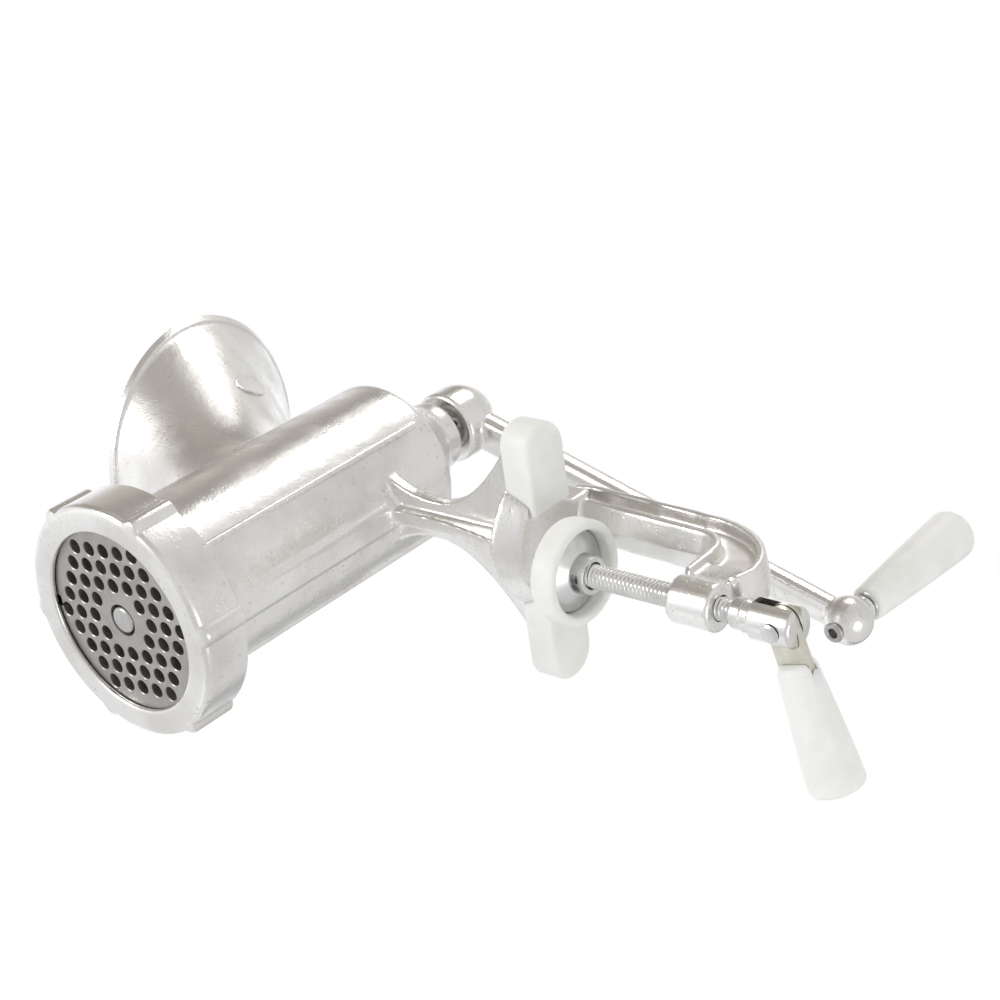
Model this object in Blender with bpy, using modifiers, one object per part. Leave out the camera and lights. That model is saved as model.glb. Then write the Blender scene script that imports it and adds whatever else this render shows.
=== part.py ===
"""Hand crank meat grinder, aluminium, clamp-on, for a 70 mm plate.

Frame: the clamp screw runs along Z through the origin, and Z = 0 is the table top,
the plane in which the two jaw pads rest.  The barrel lies along Y with the outlet
towards -Y and the crank towards +Y, and the hopper opens upwards.
"""

import math

import bmesh
import bpy
from mathutils import Matrix, Vector

MM = 0.001
GAP = 0.3                      # clearance between neighbouring pieces

# ---- barrel ---------------------------------------------------------------
AXIS_Z = 95.0                  # height of the barrel axis above the table top
BORE_R = 26.0
BARREL_FRONT_R = 30.4
BARREL_REAR_R = 29.3
FLANGE_R = 36.2                # threaded mouth that the ring nut screws onto
BARREL_FRONT_Y = -81.7
SHOULDER_Y = 36.4
NECK_R = 12.4
NECK_END_Y = 62.5
JOURNAL_R = 8.0

# ---- outlet ---------------------------------------------------------------
PLATE_R = 34.5
PLATE_FRONT_Y = -88.0
PLATE_THICK = 6.0
HOLE_PITCH = 6.9
HOLE_R = 2.45
STUD_R = 4.5
RING_R = 40.0
RING_FRONT_Y = -90.0
RING_REAR_Y = -72.4
RING_OPENING_R = 31.0
RING_BORE_R = 36.5
LOBES = 6
LOBE_R = 3.5
LOBE_TIP_R = 41.9
LOBE_PHASE = math.radians(36.0)

# ---- hopper ---------------------------------------------------------------
MOUTH_Y = 18.0
MOUTH_Z = AXIS_Z + 75.7
MOUTH_R = 47.9
MOUTH_TILT = math.radians(-6.0)
HOPPER_WALL = 2.6
HOPPER_BASE_Y = -22.0

# ---- leg, jaw and C-frame -------------------------------------------------
LEG_Y = 11.0
LEG_THICK = 5.0
JAW_BOTTOM_Z = 1.8
JAW_TOP_Z = 12.0
JAW_FRONT_Y = -6.9
JAW_REAR_Y = 4.1                     # in front of the pads
JAW_HALF = 12.0                      # half width of the jaw between the pads
HORN_LOW_Z = 2.4
HORN_HIGH_Z = 9.4
HORN_FRONT_Y = 7.6
HORN_REAR_Y = 19.4
HORN_REACH = 36.0
PAD_RIGHT_X = (12.3, 41.3)               # the right pad is pushed on further
PAD_LEFT_X = (17.6, 48.8)
PAD_FRONT_Y = 4.5
PAD_REAR_Y = 22.5
PAD_HEIGHT = 11.6
SPINE_INNER_Y = 26.2                 # at the table top, on the parting line
SPINE_OUTER_Y = 41.0
SPINE_LEAN = 0.042                   # how far the spine leans in, per millimetre of height
FRAME_TOP_Z = 12.0
ARM_INNER_Z = -52.4
ARM_OUTER_Z = -76.4
FLANGE_HALF = 7.5
INNER_CROWN = 2.6                    # draft of the inner flange's face
OUTER_CROWN = 1.0
BOSS_R = 7.6
BOSS_TOP_Z = -56.5
BOSS_END_Z = -71.8

# ---- crank ----------------------------------------------------------------
HUB_FRONT_Y = 66.5
HUB_R = 13.2
ARM_Y = 76.8
CRANK_LENGTH = 165.0
CRANK_REST = math.radians(15.8)      # swing from straight down towards -X
BALL_R = 8.3
GRIP_START_Y = 87.6
GRIP_END_Y = 144.8

# ---- clamp ----------------------------------------------------------------
SCREW_R = 3.8
PAD_TOP_Z = -11.5
PAD_RIM_Z = -21.4
PAD_R = 16.8
CLEVIS_TOP_Z = -84.6
CLEVIS_END_Z = -98.9
CLEVIS_R = 6.4
PIVOT_Z = -92.9
LEVER_DROOP = math.radians(16.0)     # from -X towards -Z
LEVER_THICK = 2.6

SILVER = (0.80, 0.79, 0.77, 1.0)
PLATE_GREY = (0.42, 0.41, 0.40, 1.0)
ZINC = (0.70, 0.71, 0.70, 1.0)
STEEL = (0.50, 0.49, 0.47, 1.0)
WHITE = (0.86, 0.87, 0.85, 1.0)


# ---- general helpers ------------------------------------------------------

def clear_scene():
    """Remove every object that the file starts with."""
    for obj in list(bpy.data.objects):
        bpy.data.objects.remove(obj, do_unlink=True)


def new_collection(name):
    """Make a collection and link it to the scene."""
    coll = bpy.data.collections.new(name)
    bpy.context.scene.collection.children.link(coll)
    return coll


def material(name, colour, rough, metal):
    """Principled material with plain colour, roughness and metallic value."""
    mat = bpy.data.materials.get(name)
    if mat is None:
        mat = bpy.data.materials.new(name)
        mat.use_nodes = True
        bsdf = mat.node_tree.nodes["Principled BSDF"]
        bsdf.inputs["Base Color"].default_value = colour
        bsdf.inputs["Roughness"].default_value = rough
        bsdf.inputs["Metallic"].default_value = metal
        mat.diffuse_color = colour
    return mat


def mesh_object(name, mesh, coll):
    """Wrap a mesh in an object of the given collection."""
    obj = bpy.data.objects.new(name, mesh)
    coll.objects.link(obj)
    return obj


def from_bmesh(name, bm, coll):
    """Turn a bmesh into an object with outward faces."""
    bmesh.ops.recalc_face_normals(bm, faces=bm.faces)
    mesh = bpy.data.meshes.new(name)
    bm.to_mesh(mesh)
    bm.free()
    return mesh_object(name, mesh, coll)


def cylinder(name, radius, start, end, coll, segments=32, radius_end=None):
    """Closed cylinder or cone between two points, in millimetres."""
    start, end = Vector(start) * MM, Vector(end) * MM
    axis = end - start
    bm = bmesh.new()
    top = radius if radius_end is None else radius_end
    bmesh.ops.create_cone(bm, cap_ends=True, segments=segments, radius1=radius * MM,
                          radius2=top * MM, depth=axis.length)
    turn = Vector((0, 0, 1)).rotation_difference(axis.normalized()).to_matrix().to_4x4()
    bmesh.ops.transform(bm, matrix=Matrix.Translation((start + end) / 2) @ turn, verts=bm.verts)
    return from_bmesh(name, bm, coll)


def box(name, low, high, coll):
    """Closed box between two corners, in millimetres."""
    low, high = Vector(low) * MM, Vector(high) * MM
    bm = bmesh.new()
    bmesh.ops.create_cube(bm, size=1.0)
    bmesh.ops.scale(bm, vec=high - low, verts=bm.verts)
    bmesh.ops.translate(bm, vec=(low + high) / 2, verts=bm.verts)
    return from_bmesh(name, bm, coll)


def turned(name, profile, axis, centre, coll, steps=40):
    """Solid of revolution: profile is (radius, position) pairs along the axis."""
    bm = bmesh.new()
    verts = [bm.verts.new((r * MM, 0.0, h * MM)) for r, h in profile]
    for a, b in zip(verts, verts[1:]):
        bm.edges.new((a, b))
    if profile[0][0] > 0.0 or profile[-1][0] > 0.0:
        bm.edges.new((verts[-1], verts[0]))
    bmesh.ops.spin(bm, geom=bm.verts[:] + bm.edges[:], cent=(0, 0, 0), axis=(0, 0, 1),
                   angle=2.0 * math.pi, steps=steps, use_merge=True)
    bmesh.ops.remove_doubles(bm, verts=bm.verts, dist=0.000002)
    if axis == "Y":
        bmesh.ops.rotate(bm, cent=(0, 0, 0), matrix=Matrix.Rotation(-math.pi / 2, 3, "X"),
                         verts=bm.verts)
    bmesh.ops.translate(bm, vec=Vector(centre) * MM, verts=bm.verts)
    return from_bmesh(name, bm, coll)


def outline_curve(name, points, plane, centre, half, coll):
    """Flat outline with thickness, made from a 2D curve and turned into a mesh.

    The points are millimetres in the plane "XY", "YZ" or "XZ"; centre is the position
    of the middle of the thickness along the remaining axis.
    """
    data = bpy.data.curves.new(name, "CURVE")
    data.dimensions = "2D"
    data.fill_mode = "BOTH"
    data.extrude = half * MM
    spline = data.splines.new("POLY")
    spline.points.add(len(points) - 1)
    for slot, (u, v) in zip(spline.points, points):
        slot.co = (u * MM, v * MM, 0.0, 1.0)
    spline.use_cyclic_u = True
    curve = bpy.data.objects.new(name + "_curve", data)
    coll.objects.link(curve)
    if plane == "XY":
        curve.location = (0.0, 0.0, centre * MM)
    elif plane == "YZ":
        curve.matrix_world = Matrix(((0, 0, 1, centre * MM), (1, 0, 0, 0), (0, 1, 0, 0), (0, 0, 0, 1)))
    else:
        curve.matrix_world = Matrix(((1, 0, 0, 0), (0, 0, -1, centre * MM), (0, 1, 0, 0), (0, 0, 0, 1)))
    bpy.context.view_layer.update()
    return curve_to_mesh(name, curve, coll)


def curve_to_mesh(name, curve, coll):
    """Replace a curve object by a welded mesh object in world space."""
    deps = bpy.context.evaluated_depsgraph_get()
    mesh = bpy.data.meshes.new_from_object(curve.evaluated_get(deps))
    mesh.transform(curve.matrix_world)
    bpy.data.objects.remove(curve, do_unlink=True)
    bm = bmesh.new()
    bm.from_mesh(mesh)
    bmesh.ops.remove_doubles(bm, verts=bm.verts, dist=0.000002)
    bpy.data.meshes.remove(mesh)
    return from_bmesh(name, bm, coll)


def loft(name, rings, coll, closed_ends=True):
    """Solid through rings of equal point count (lists of millimetre points)."""
    bm = bmesh.new()
    rows = [[bm.verts.new(Vector(p) * MM) for p in ring] for ring in rings]
    count = len(rows[0])
    for low, high in zip(rows, rows[1:]):
        for i in range(count):
            j = (i + 1) % count
            bm.faces.new((low[i], low[j], high[j], high[i]))
    if closed_ends:
        bm.faces.new(rows[0])
        bm.faces.new(rows[-1])
    return from_bmesh(name, bm, coll)


def is_closed(mesh):
    """True when every edge of the mesh has exactly two faces."""
    bm = bmesh.new()
    bm.from_mesh(mesh)
    closed = all(len(edge.link_faces) == 2 for edge in bm.edges)
    bm.free()
    return closed


def boolean(target, tool, operation):
    """Apply one Boolean and remove the tool.

    The exact solver comes first; where it leaves an open seam between nearly touching
    faces, the manifold solver does the same step instead.
    """
    mod = target.modifiers.new("bool", "BOOLEAN")
    mod.operation = operation
    mod.object = tool
    for solver in ("EXACT", "MANIFOLD"):
        mod.solver = solver
        bpy.context.view_layer.update()
        deps = bpy.context.evaluated_depsgraph_get()
        mesh = bpy.data.meshes.new_from_object(target.evaluated_get(deps))
        if is_closed(mesh):
            break
    target.modifiers.clear()
    old = target.data
    target.data = mesh
    bpy.data.meshes.remove(old)
    bpy.data.objects.remove(tool, do_unlink=True)
    return target


def join(target, *tools):
    """Union of the target with every tool."""
    for tool in tools:
        boolean(target, tool, "UNION")
    return target


def cut(target, *tools):
    """Difference of the target and every tool."""
    for tool in tools:
        boolean(target, tool, "DIFFERENCE")
    return target


def arc(cx, cy, radius, start, end, steps):
    """Points on an arc, angles in degrees."""
    return [(cx + radius * math.cos(math.radians(start + (end - start) * k / steps)),
             cy + radius * math.sin(math.radians(start + (end - start) * k / steps)))
            for k in range(steps + 1)]


def finish(obj, mat, origin=None, parent=None):
    """Clean a mesh, set its material, shading, origin and parent."""
    bm = bmesh.new()
    bm.from_mesh(obj.data)
    bmesh.ops.remove_doubles(bm, verts=bm.verts, dist=0.000001)
    bmesh.ops.dissolve_degenerate(bm, edges=bm.edges, dist=0.0000005)
    bmesh.ops.dissolve_limit(bm, angle_limit=math.radians(0.4), verts=bm.verts, edges=bm.edges)
    bmesh.ops.triangulate(bm, faces=[f for f in bm.faces if len(f.verts) > 4])
    bm.to_mesh(obj.data)
    bm.free()
    obj.data.materials.clear()
    obj.data.materials.append(mat)
    obj.data.shade_smooth()
    obj.data.set_sharp_from_angle(angle=math.radians(35.0))
    if origin is not None:
        point = Vector(origin) * MM
        obj.data.transform(Matrix.Translation(-point))
        obj.location = point
    if parent is not None:
        bpy.context.view_layer.update()
        obj.parent = parent
        obj.matrix_parent_inverse = parent.matrix_world.inverted()
    return obj


def pivot_empty(name, point, coll):
    """Empty that stands on a joint's axis."""
    empty = bpy.data.objects.new(name, None)
    empty.empty_display_size = 0.02
    empty.location = Vector(point) * MM
    coll.objects.link(empty)
    bpy.context.view_layer.update()
    return empty


# ---- cast body ------------------------------------------------------------

def hopper_ring(t, shrink, count=36):
    """Section of the hopper at height fraction t (0 at the barrel, 1 at the mouth).

    The section is an ellipse whose centre leans back with t; the flare is a blend of
    a straight cone and a quarter-power neck, so the throat is narrow and the rim wide.
    """
    z = AXIS_Z + 4.0 + (MOUTH_Z - AXIS_Z - 4.0) * t
    lean = t * t * (3.0 - 2.0 * t) * 0.35 + t * 0.65
    y = HOPPER_BASE_Y + (MOUTH_Y - HOPPER_BASE_Y) * lean
    base = max(0.0, 1.0 - t) ** 2.2
    a = 27.6 * base + (17.0 + (MOUTH_R - 17.0) * t ** 1.15) * (1.0 - base)
    b = 36.0 * base + (19.0 + (MOUTH_R - 19.0) * t ** 1.15) * (1.0 - base)
    tilt = MOUTH_TILT * t
    points = []
    for k in range(count):
        ang = 2.0 * math.pi * k / count
        u = (a - shrink) * math.cos(ang)
        v = (b - shrink) * math.sin(ang)
        points.append((u, y + v * math.cos(tilt), z - v * math.sin(tilt)))
    return points


def hopper_outer(coll):
    """Outer skin of the hopper, down into the barrel, with a beaded rim."""
    rings = [[(x, y, AXIS_Z - 4.0) for x, y, _ in hopper_ring(0.0, 0.0)]]
    rings += [hopper_ring(k / 10.0, 0.0) for k in range(10)]
    rings.append(hopper_ring(0.955, 0.0))
    rings.append(hopper_ring(0.962, -1.0))
    rings.append(hopper_ring(0.995, -1.0))
    rings.append(hopper_ring(1.0, -0.5))
    return loft("hopper_outer", rings, coll)


def hopper_inner(coll):
    """Inside of the funnel, from above the rim down into the bore."""
    rings = []
    floor = [(0.80 * x, HOPPER_BASE_Y + 0.80 * (y - HOPPER_BASE_Y), AXIS_Z + 2.0)
             for x, y, _ in hopper_ring(0.0, HOPPER_WALL + 3.0)]
    rings.append(floor)
    rings += [hopper_ring(k / 10.0, HOPPER_WALL + (2.4 if k == 1 else 0.0)) for k in range(1, 11)]
    rings.append(hopper_ring(1.04, HOPPER_WALL))
    return loft("hopper_inner", rings, coll)


def barrel_solid(coll):
    """Outside of the barrel, from the threaded mouth to the rear bearing neck."""
    profile = [(0.0, NECK_END_Y), (NECK_R - 0.8, NECK_END_Y), (NECK_R, NECK_END_Y - 0.8),
               (NECK_R + 0.5, 56.0), (NECK_R + 2.2, 52.5), (18.5, 48.0), (24.0, 41.6),
               (26.6, 38.4), (28.2, 37.6), (BARREL_REAR_R - 0.2, SHOULDER_Y), (BARREL_REAR_R, 34.5),
               (BARREL_FRONT_R, -70.0), (FLANGE_R, -74.6), (FLANGE_R, BARREL_FRONT_Y),
               (0.0, BARREL_FRONT_Y)]
    return turned("body_casting", profile, "Y", (0, 0, AXIS_Z), coll, steps=40)


def barrel_bore(coll):
    """Inside of the barrel with the bearing hole through the neck."""
    profile = [(0.0, NECK_END_Y + 3.0), (JOURNAL_R + GAP, NECK_END_Y + 3.0),
               (JOURNAL_R + GAP, 35.0), (20.0, 35.0), (BORE_R - 0.6, 30.0), (BORE_R, 26.0),
               (BORE_R, BARREL_FRONT_Y - 3.0), (0.0, BARREL_FRONT_Y - 3.0)]
    return turned("barrel_bore", profile, "Y", (0, 0, AXIS_Z), coll, steps=40)


def barrel_ribs(coll):
    """Keel under the barrel and a thin rib on each lower flank."""
    keel = [(-4.2, AXIS_Z - 31.4), (4.2, AXIS_Z - 31.4), (6.6, AXIS_Z - 27.0), (-6.6, AXIS_Z - 27.0)]
    pieces = [outline_curve("keel", keel, "XZ", -28.0, 43.0, coll)]
    for side in (-1, 1):
        ang = math.radians(-46.0)
        x = side * math.cos(ang) * (BARREL_REAR_R + 0.25)
        z = AXIS_Z + math.sin(ang) * (BARREL_REAR_R + 0.25)
        pieces.append(cylinder("flank_rib", 1.3, (x, -69.0, z), (x, 31.0, z), coll, segments=10))
    return pieces


def leg_half_outline():
    """Right edge of the leg plate from the barrel down to the jaw."""
    shape = []
    top, bottom, neck_z = AXIS_Z - 20.0, JAW_TOP_Z, AXIS_Z - 48.0
    for k in range(15):
        z = top + (bottom - top) * k / 14.0
        if z > neck_z:
            s = (z - neck_z) / (top - neck_z)
            half = 6.8 + 11.0 * s ** 2.4
        else:
            s = (neck_z - z) / (neck_z - bottom)
            half = 6.8 + 27.5 * s ** 1.9
        shape.append((half, z))
    return shape + [(JAW_HALF - 0.2, JAW_TOP_Z), (JAW_HALF - 0.2, JAW_BOTTOM_Z + 4.0)]


def leg_pieces(coll):
    """Flat wishbone plate with a forward rib, and the rear web to the frame."""
    right = leg_half_outline()
    outline = right + [(-x, z) for x, z in reversed(right)]
    plate = outline_curve("leg_plate", outline, "XZ", LEG_Y, LEG_THICK / 2, coll)
    rib = [(2.0, AXIS_Z - 26.0), (4.6, AXIS_Z - 34.0), (4.9, AXIS_Z - 50.0), (3.0, AXIS_Z - 66.0),
           (-0.4, JAW_TOP_Z - 2.3), (12.0, JAW_TOP_Z - 2.6), (12.0, AXIS_Z - 26.0)]
    front = outline_curve("leg_rib", rib, "YZ", 0.0, 2.6, coll)
    web = [(12.0, AXIS_Z - 28.0), (15.5, AXIS_Z - 40.0), (18.5, AXIS_Z - 56.0), (24.0, AXIS_Z - 68.0),
           (33.0, JAW_TOP_Z + 3.0), (37.4, JAW_TOP_Z - 6.4), (12.0, JAW_TOP_Z - 6.0)]
    rear = outline_curve("leg_web", web, "YZ", 0.0, 2.5, coll)
    return [plate, front, rear]


def jaw_ring(z, inset):
    """Outline of the jaw's middle at one height, its front edge moved back by the inset."""
    reach = math.sqrt((JAW_REAR_Y - JAW_FRONT_Y - inset) / 0.0267)
    front = [reach * k / 7.0 for k in range(8)]
    right = [(x, JAW_FRONT_Y + inset + 0.0267 * x * x) for x in front]
    right += [(JAW_HALF, JAW_REAR_Y), (JAW_HALF, 21.0), (9.2, 25.0), (9.2, 34.0)]
    outline = right + [(-x, y) for x, y in reversed(right) if x > 0.0]
    return [(x, y, z) for x, y in outline]


def jaw_pieces(coll):
    """Crescent jaw with a slanted front face, and a flat horn on each side for the pads."""
    rings = [jaw_ring(JAW_BOTTOM_Z, 4.2), jaw_ring(JAW_TOP_Z - 1.2, 0.0), jaw_ring(JAW_TOP_Z, 0.8)]
    reach, front, rear = HORN_REACH, HORN_FRONT_Y, HORN_REAR_Y
    right = [(reach - 2.0, front), (reach, front + 2.0), (reach, rear - 2.0), (reach - 2.0, rear)]
    outline = right + [(-x, y) for x, y in reversed(right)]
    middle = (HORN_LOW_Z + HORN_HIGH_Z) / 2
    horns = outline_curve("horns", outline, "XY", middle, (HORN_HIGH_Z - HORN_LOW_Z) / 2, coll)
    return [loft("jaw", rings, coll), horns]


def frame_path(offset):
    """Side line of the C-frame, offset inwards from its outer face (millimetres)."""
    low, turn_z = ARM_OUTER_Z + offset, -43.0
    spine = SPINE_OUTER_Y - offset
    points = [(spine - 1.6, FRAME_TOP_Z - 1.0), (spine + SPINE_LEAN * 4.0, 4.0)]
    centre_y = 12.5
    across = spine + SPINE_LEAN * turn_z - centre_y
    down = turn_z - low
    for k in range(9):
        ang = math.radians(90.0 * k / 8.0)
        points.append((centre_y + across * math.cos(ang), turn_z - down * math.sin(ang)))
    points += [(6.4, low + 1.9)]
    return points


def inner_path(offset):
    """Side line of the inner flange, offset outwards from the inner face."""
    corner, low = 6.0 + offset, ARM_INNER_Z - offset
    spine = SPINE_INNER_Y + offset
    turn_y = spine + SPINE_LEAN * (low + corner)
    points = [(spine - 1.6, FRAME_TOP_Z - 1.0), (spine + SPINE_LEAN * 6.0, 6.0)]
    points += arc(turn_y - corner, low + corner, corner, 0.0, -90.0, 5)
    points += [(5.0, min(low, BOSS_TOP_Z + 0.9))]
    return points


def rail(name, path, half, crown, thick, coll):
    """Flange along a side line, its face peaked at the parting line by the crown."""
    peak, edge, back = path(0.0), path(crown), path(crown + thick)
    rings = []
    for top, side, rear in zip(peak, edge, back):
        rings.append([(-half, *side), (0.0, *top), (half, *side), (half, *rear), (-half, *rear)])
    return loft(name, rings, coll)


def frame_pieces(coll):
    """C-frame of the clamp: a thin web between an inner and an outer flange."""
    web = frame_path(1.8) + list(reversed(inner_path(3.4)))
    pieces = [outline_curve("frame_web", web, "YZ", 0.0, 2.6, coll),
              rail("frame_outer", frame_path, FLANGE_HALF, OUTER_CROWN, 2.4, coll),
              rail("frame_inner", inner_path, FLANGE_HALF, INNER_CROWN, 2.6, coll),
              cylinder("screw_boss", BOSS_R, (0, 0, BOSS_END_Z), (0, 0, BOSS_TOP_Z), coll, segments=32)]
    shoe = [(0.0, BOSS_TOP_Z - 0.9), (14.0, ARM_INNER_Z - 4.4), (14.2, ARM_OUTER_Z + 2.1), (0.0, BOSS_END_Z + 0.9)]
    pieces.append(outline_curve("boss_shoe", shoe, "YZ", 0.0, 5.6, coll))
    return pieces


def casting_mark(coll):
    """Plain raised oval on the hopper's rear right flank, a generic casting mark."""
    def skin(t, step):
        return Vector(hopper_ring(t, 0.0, 72)[step])
    side = skin(0.60, 7)
    slope = (skin(0.68, 7) - skin(0.52, 7)).normalized()
    along = (skin(0.60, 8) - skin(0.60, 6)).normalized()
    normal = slope.cross(along).normalized()
    if normal.x < 0.0:
        normal.negate()
    rings = []
    for height, grow in ((-2.2, 1.0), (0.35, 1.0), (0.6, 0.88)):
        ring = []
        for k in range(20):
            ang = 2.0 * math.pi * k / 20
            reach = slope * (5.6 * grow * math.cos(ang)) + along * (8.0 * grow * math.sin(ang))
            sag = 1.0 * math.sin(ang) ** 2
            ring.append(tuple(side + reach + normal * (height - sag)))
        rings.append(ring)
    return loft("casting_mark", rings, coll)


def make_body(coll, cutters):
    """One casting: hopper, barrel, leg, jaw, C-frame and screw boss."""
    body = barrel_solid(coll)
    join(body, hopper_outer(cutters), casting_mark(cutters))
    join(body, *barrel_ribs(cutters))
    join(body, *leg_pieces(cutters), *jaw_pieces(cutters))
    join(body, *frame_pieces(cutters))
    cut(body, hopper_inner(cutters), barrel_bore(cutters))
    cut(body, cylinder("screw_hole", SCREW_R + GAP, (0, 0, BOSS_END_Z - 5), (0, 0, BOSS_TOP_Z + 5),
                       cutters, segments=24))
    cut(body, cylinder("key_hole", 1.5 + GAP, (0, BARREL_FRONT_Y - 2, AXIS_Z + 31.5),
                       (0, -75.7, AXIS_Z + 31.5), cutters, segments=12))
    return finish(body, material("cast_aluminium", SILVER, 0.32, 1.0))


# ---- outlet pieces --------------------------------------------------------

def make_ring_nut(coll, cutters):
    """Ring nut with six half-round grip lobes."""
    profile = [(RING_OPENING_R, RING_REAR_Y), (RING_R - 0.6, RING_REAR_Y), (RING_R, RING_REAR_Y - 0.6),
               (RING_R, RING_FRONT_Y + 1.6), (RING_R - 1.6, RING_FRONT_Y), (RING_OPENING_R + 0.6, RING_FRONT_Y),
               (RING_OPENING_R, RING_FRONT_Y + 0.6)]
    ring = turned("ring_nut", profile, "Y", (0, 0, AXIS_Z), coll, steps=48)
    reach = LOBE_TIP_R - LOBE_R
    for k in range(LOBES):
        ang = LOBE_PHASE + 2.0 * math.pi * k / LOBES
        x, z = reach * math.cos(ang), AXIS_Z + reach * math.sin(ang)
        join(ring, cylinder("lobe", LOBE_R, (x, RING_FRONT_Y + 0.5, z), (x, RING_REAR_Y - 0.2, z),
                            cutters, segments=10))
    lip = PLATE_FRONT_Y - GAP
    cut(ring, cylinder("ring_bore", RING_BORE_R, (0, lip, AXIS_Z), (0, RING_REAR_Y + 5, AXIS_Z),
                       cutters, segments=48))
    return finish(ring, material("ring_aluminium", SILVER, 0.3, 1.0), (0, 0, AXIS_Z))


def plate_holes():
    """Hole centres: a hexagonal grid four pitches wide, without the middle seven."""
    centres = []
    for row in range(-4, 5):
        count = 9 - abs(row)
        for k in range(count):
            u = (k - (count - 1) / 2.0) * HOLE_PITCH
            v = row * HOLE_PITCH * math.sqrt(3.0) / 2.0
            if HOLE_PITCH * 1.2 < math.hypot(u, v):
                centres.append((u, v))
    return centres


def make_plate(coll, cutters):
    """Perforated plate with a centre hole and a key notch."""
    rear = PLATE_FRONT_Y + PLATE_THICK
    plate = cylinder("perforated_plate", PLATE_R, (0, PLATE_FRONT_Y, AXIS_Z), (0, rear, AXIS_Z), coll, segments=48)
    bm = bmesh.new()
    turn = Matrix.Rotation(math.radians(-95.0), 4, "Y")
    for u, v in plate_holes():
        spot = turn @ Vector((u, 0.0, v))
        place = Matrix.Translation((spot.x * MM, (PLATE_FRONT_Y + PLATE_THICK / 2) * MM, (AXIS_Z + spot.z) * MM))
        bmesh.ops.create_cone(bm, cap_ends=True, segments=8, radius1=HOLE_R * MM, radius2=HOLE_R * MM,
                              depth=(PLATE_THICK + 4.0) * MM, matrix=place @ Matrix.Rotation(math.pi / 2, 4, "X"))
    holes = from_bmesh("plate_holes", bm, cutters)
    cut(plate, holes)
    cut(plate, cylinder("stud_hole", STUD_R + 0.9, (0, PLATE_FRONT_Y - 2, AXIS_Z), (0, rear + 2, AXIS_Z),
                        cutters, segments=24))
    cut(plate, box("key_notch", (-1.9, PLATE_FRONT_Y - 1, AXIS_Z + 29.6), (1.9, rear + 1, AXIS_Z + 38), cutters))
    return finish(plate, material("plate_steel", PLATE_GREY, 0.35, 1.0), (0, 0, AXIS_Z))


def make_key_pin(coll):
    """Small pin in the barrel's mouth that stops the plate from turning."""
    pin = cylinder("plate_key_pin", 1.5, (0, -86.0, AXIS_Z + 31.5), (0, -76.0, AXIS_Z + 31.5), coll, segments=12)
    return finish(pin, material("pin_steel", STEEL, 0.3, 1.0))


# ---- turning parts --------------------------------------------------------

def make_knife(coll, cutters, parent):
    """Four-bladed cutting knife with a square hole."""
    front, rear = PLATE_FRONT_Y + PLATE_THICK + GAP, -76.6
    knife = cylinder("cutting_knife", 9.4, (0, front, AXIS_Z), (0, rear, AXIS_Z), coll, segments=24)
    for k in range(4):
        ang = math.pi / 2 * k + math.radians(20.0)
        blade = [(0.0, -4.2), (24.6, -3.4), (25.0, 0.0), (24.0, 3.0), (14.0, 2.2), (0.0, 4.2)]
        turned_blade = [(x * math.cos(ang) - z * math.sin(ang), AXIS_Z + x * math.sin(ang) + z * math.cos(ang))
                        for x, z in blade]
        join(knife, outline_curve("blade", turned_blade, "XZ", (front + rear) / 2 - 0.4,
                                  (rear - front) / 2 - 0.4, cutters))
    cut(knife, box("knife_square", (-5.3, front - 2, AXIS_Z - 5.3), (5.3, rear + 2, AXIS_Z + 5.3), cutters))
    return finish(knife, material("knife_steel", STEEL, 0.25, 1.0), (0, 0, AXIS_Z), parent)


def auger_flight(coll):
    """Helical flight of the auger: a bar section swept along a helix.

    At turn angle a the section stands at radius 8 to FLIGHT_R and moves back by one
    pitch per turn; the pitch shortens towards the outlet.
    """
    rings = []
    steps = 45
    for k in range(steps + 1):
        f = k / steps
        ang = -2.0 * math.pi * 3.0 * f
        y = -72.0 + 96.0 * (0.62 * f + 0.38 * f * f)
        half = 2.2
        ring = []
        for radius, width in ((8.0, half + 0.9), (25.0, half - 0.6)):
            for side in (-1, 1):
                ring.append((radius * math.cos(ang), y + side * width, AXIS_Z + radius * math.sin(ang)))
        rings.append([ring[0], ring[1], ring[3], ring[2]])
    return loft("auger_flight", rings, coll)


def make_auger(coll, cutters, parent):
    """Cast auger: core, flight, thrust shoulder, journal and square end."""
    profile = [(0.0, 63.6), (JOURNAL_R - 0.6, 63.6), (JOURNAL_R, 63.0), (JOURNAL_R, 32.8), (16.0, 32.8),
               (16.0, 28.4), (12.0, 25.0), (10.5, -40.0), (9.2, -76.3), (0.0, -76.3)]
    auger = turned("auger", profile, "Y", (0, 0, AXIS_Z), coll, steps=28)
    join(auger, auger_flight(cutters))
    join(auger, box("knife_square_end", (-5.0, -81.4, AXIS_Z - 5.0), (5.0, -75.0, AXIS_Z + 5.0), cutters))
    shaft = [(5.4, 3.4), (3.4, 5.4), (-3.4, 5.4), (-5.4, 3.4), (-5.4, -3.4), (-3.4, -5.4), (3.4, -5.4), (5.4, -3.4)]
    turn = -CRANK_REST
    square = [(x * math.cos(turn) - z * math.sin(turn), AXIS_Z + x * math.sin(turn) + z * math.cos(turn))
              for x, z in shaft]
    join(auger, outline_curve("square_end", square, "XZ", 71.0, 9.0, cutters))
    cut(auger, cylinder("stud_socket", STUD_R + GAP, (0, -90, AXIS_Z), (0, -57.6, AXIS_Z), cutters, segments=24))
    cut(auger, cylinder("screw_socket", 2.5 + GAP, (0, 69.6, AXIS_Z), (0, 90, AXIS_Z), cutters, segments=16))
    return finish(auger, material("auger_iron", STEEL, 0.42, 1.0), (0, 0, AXIS_Z), parent)


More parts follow.
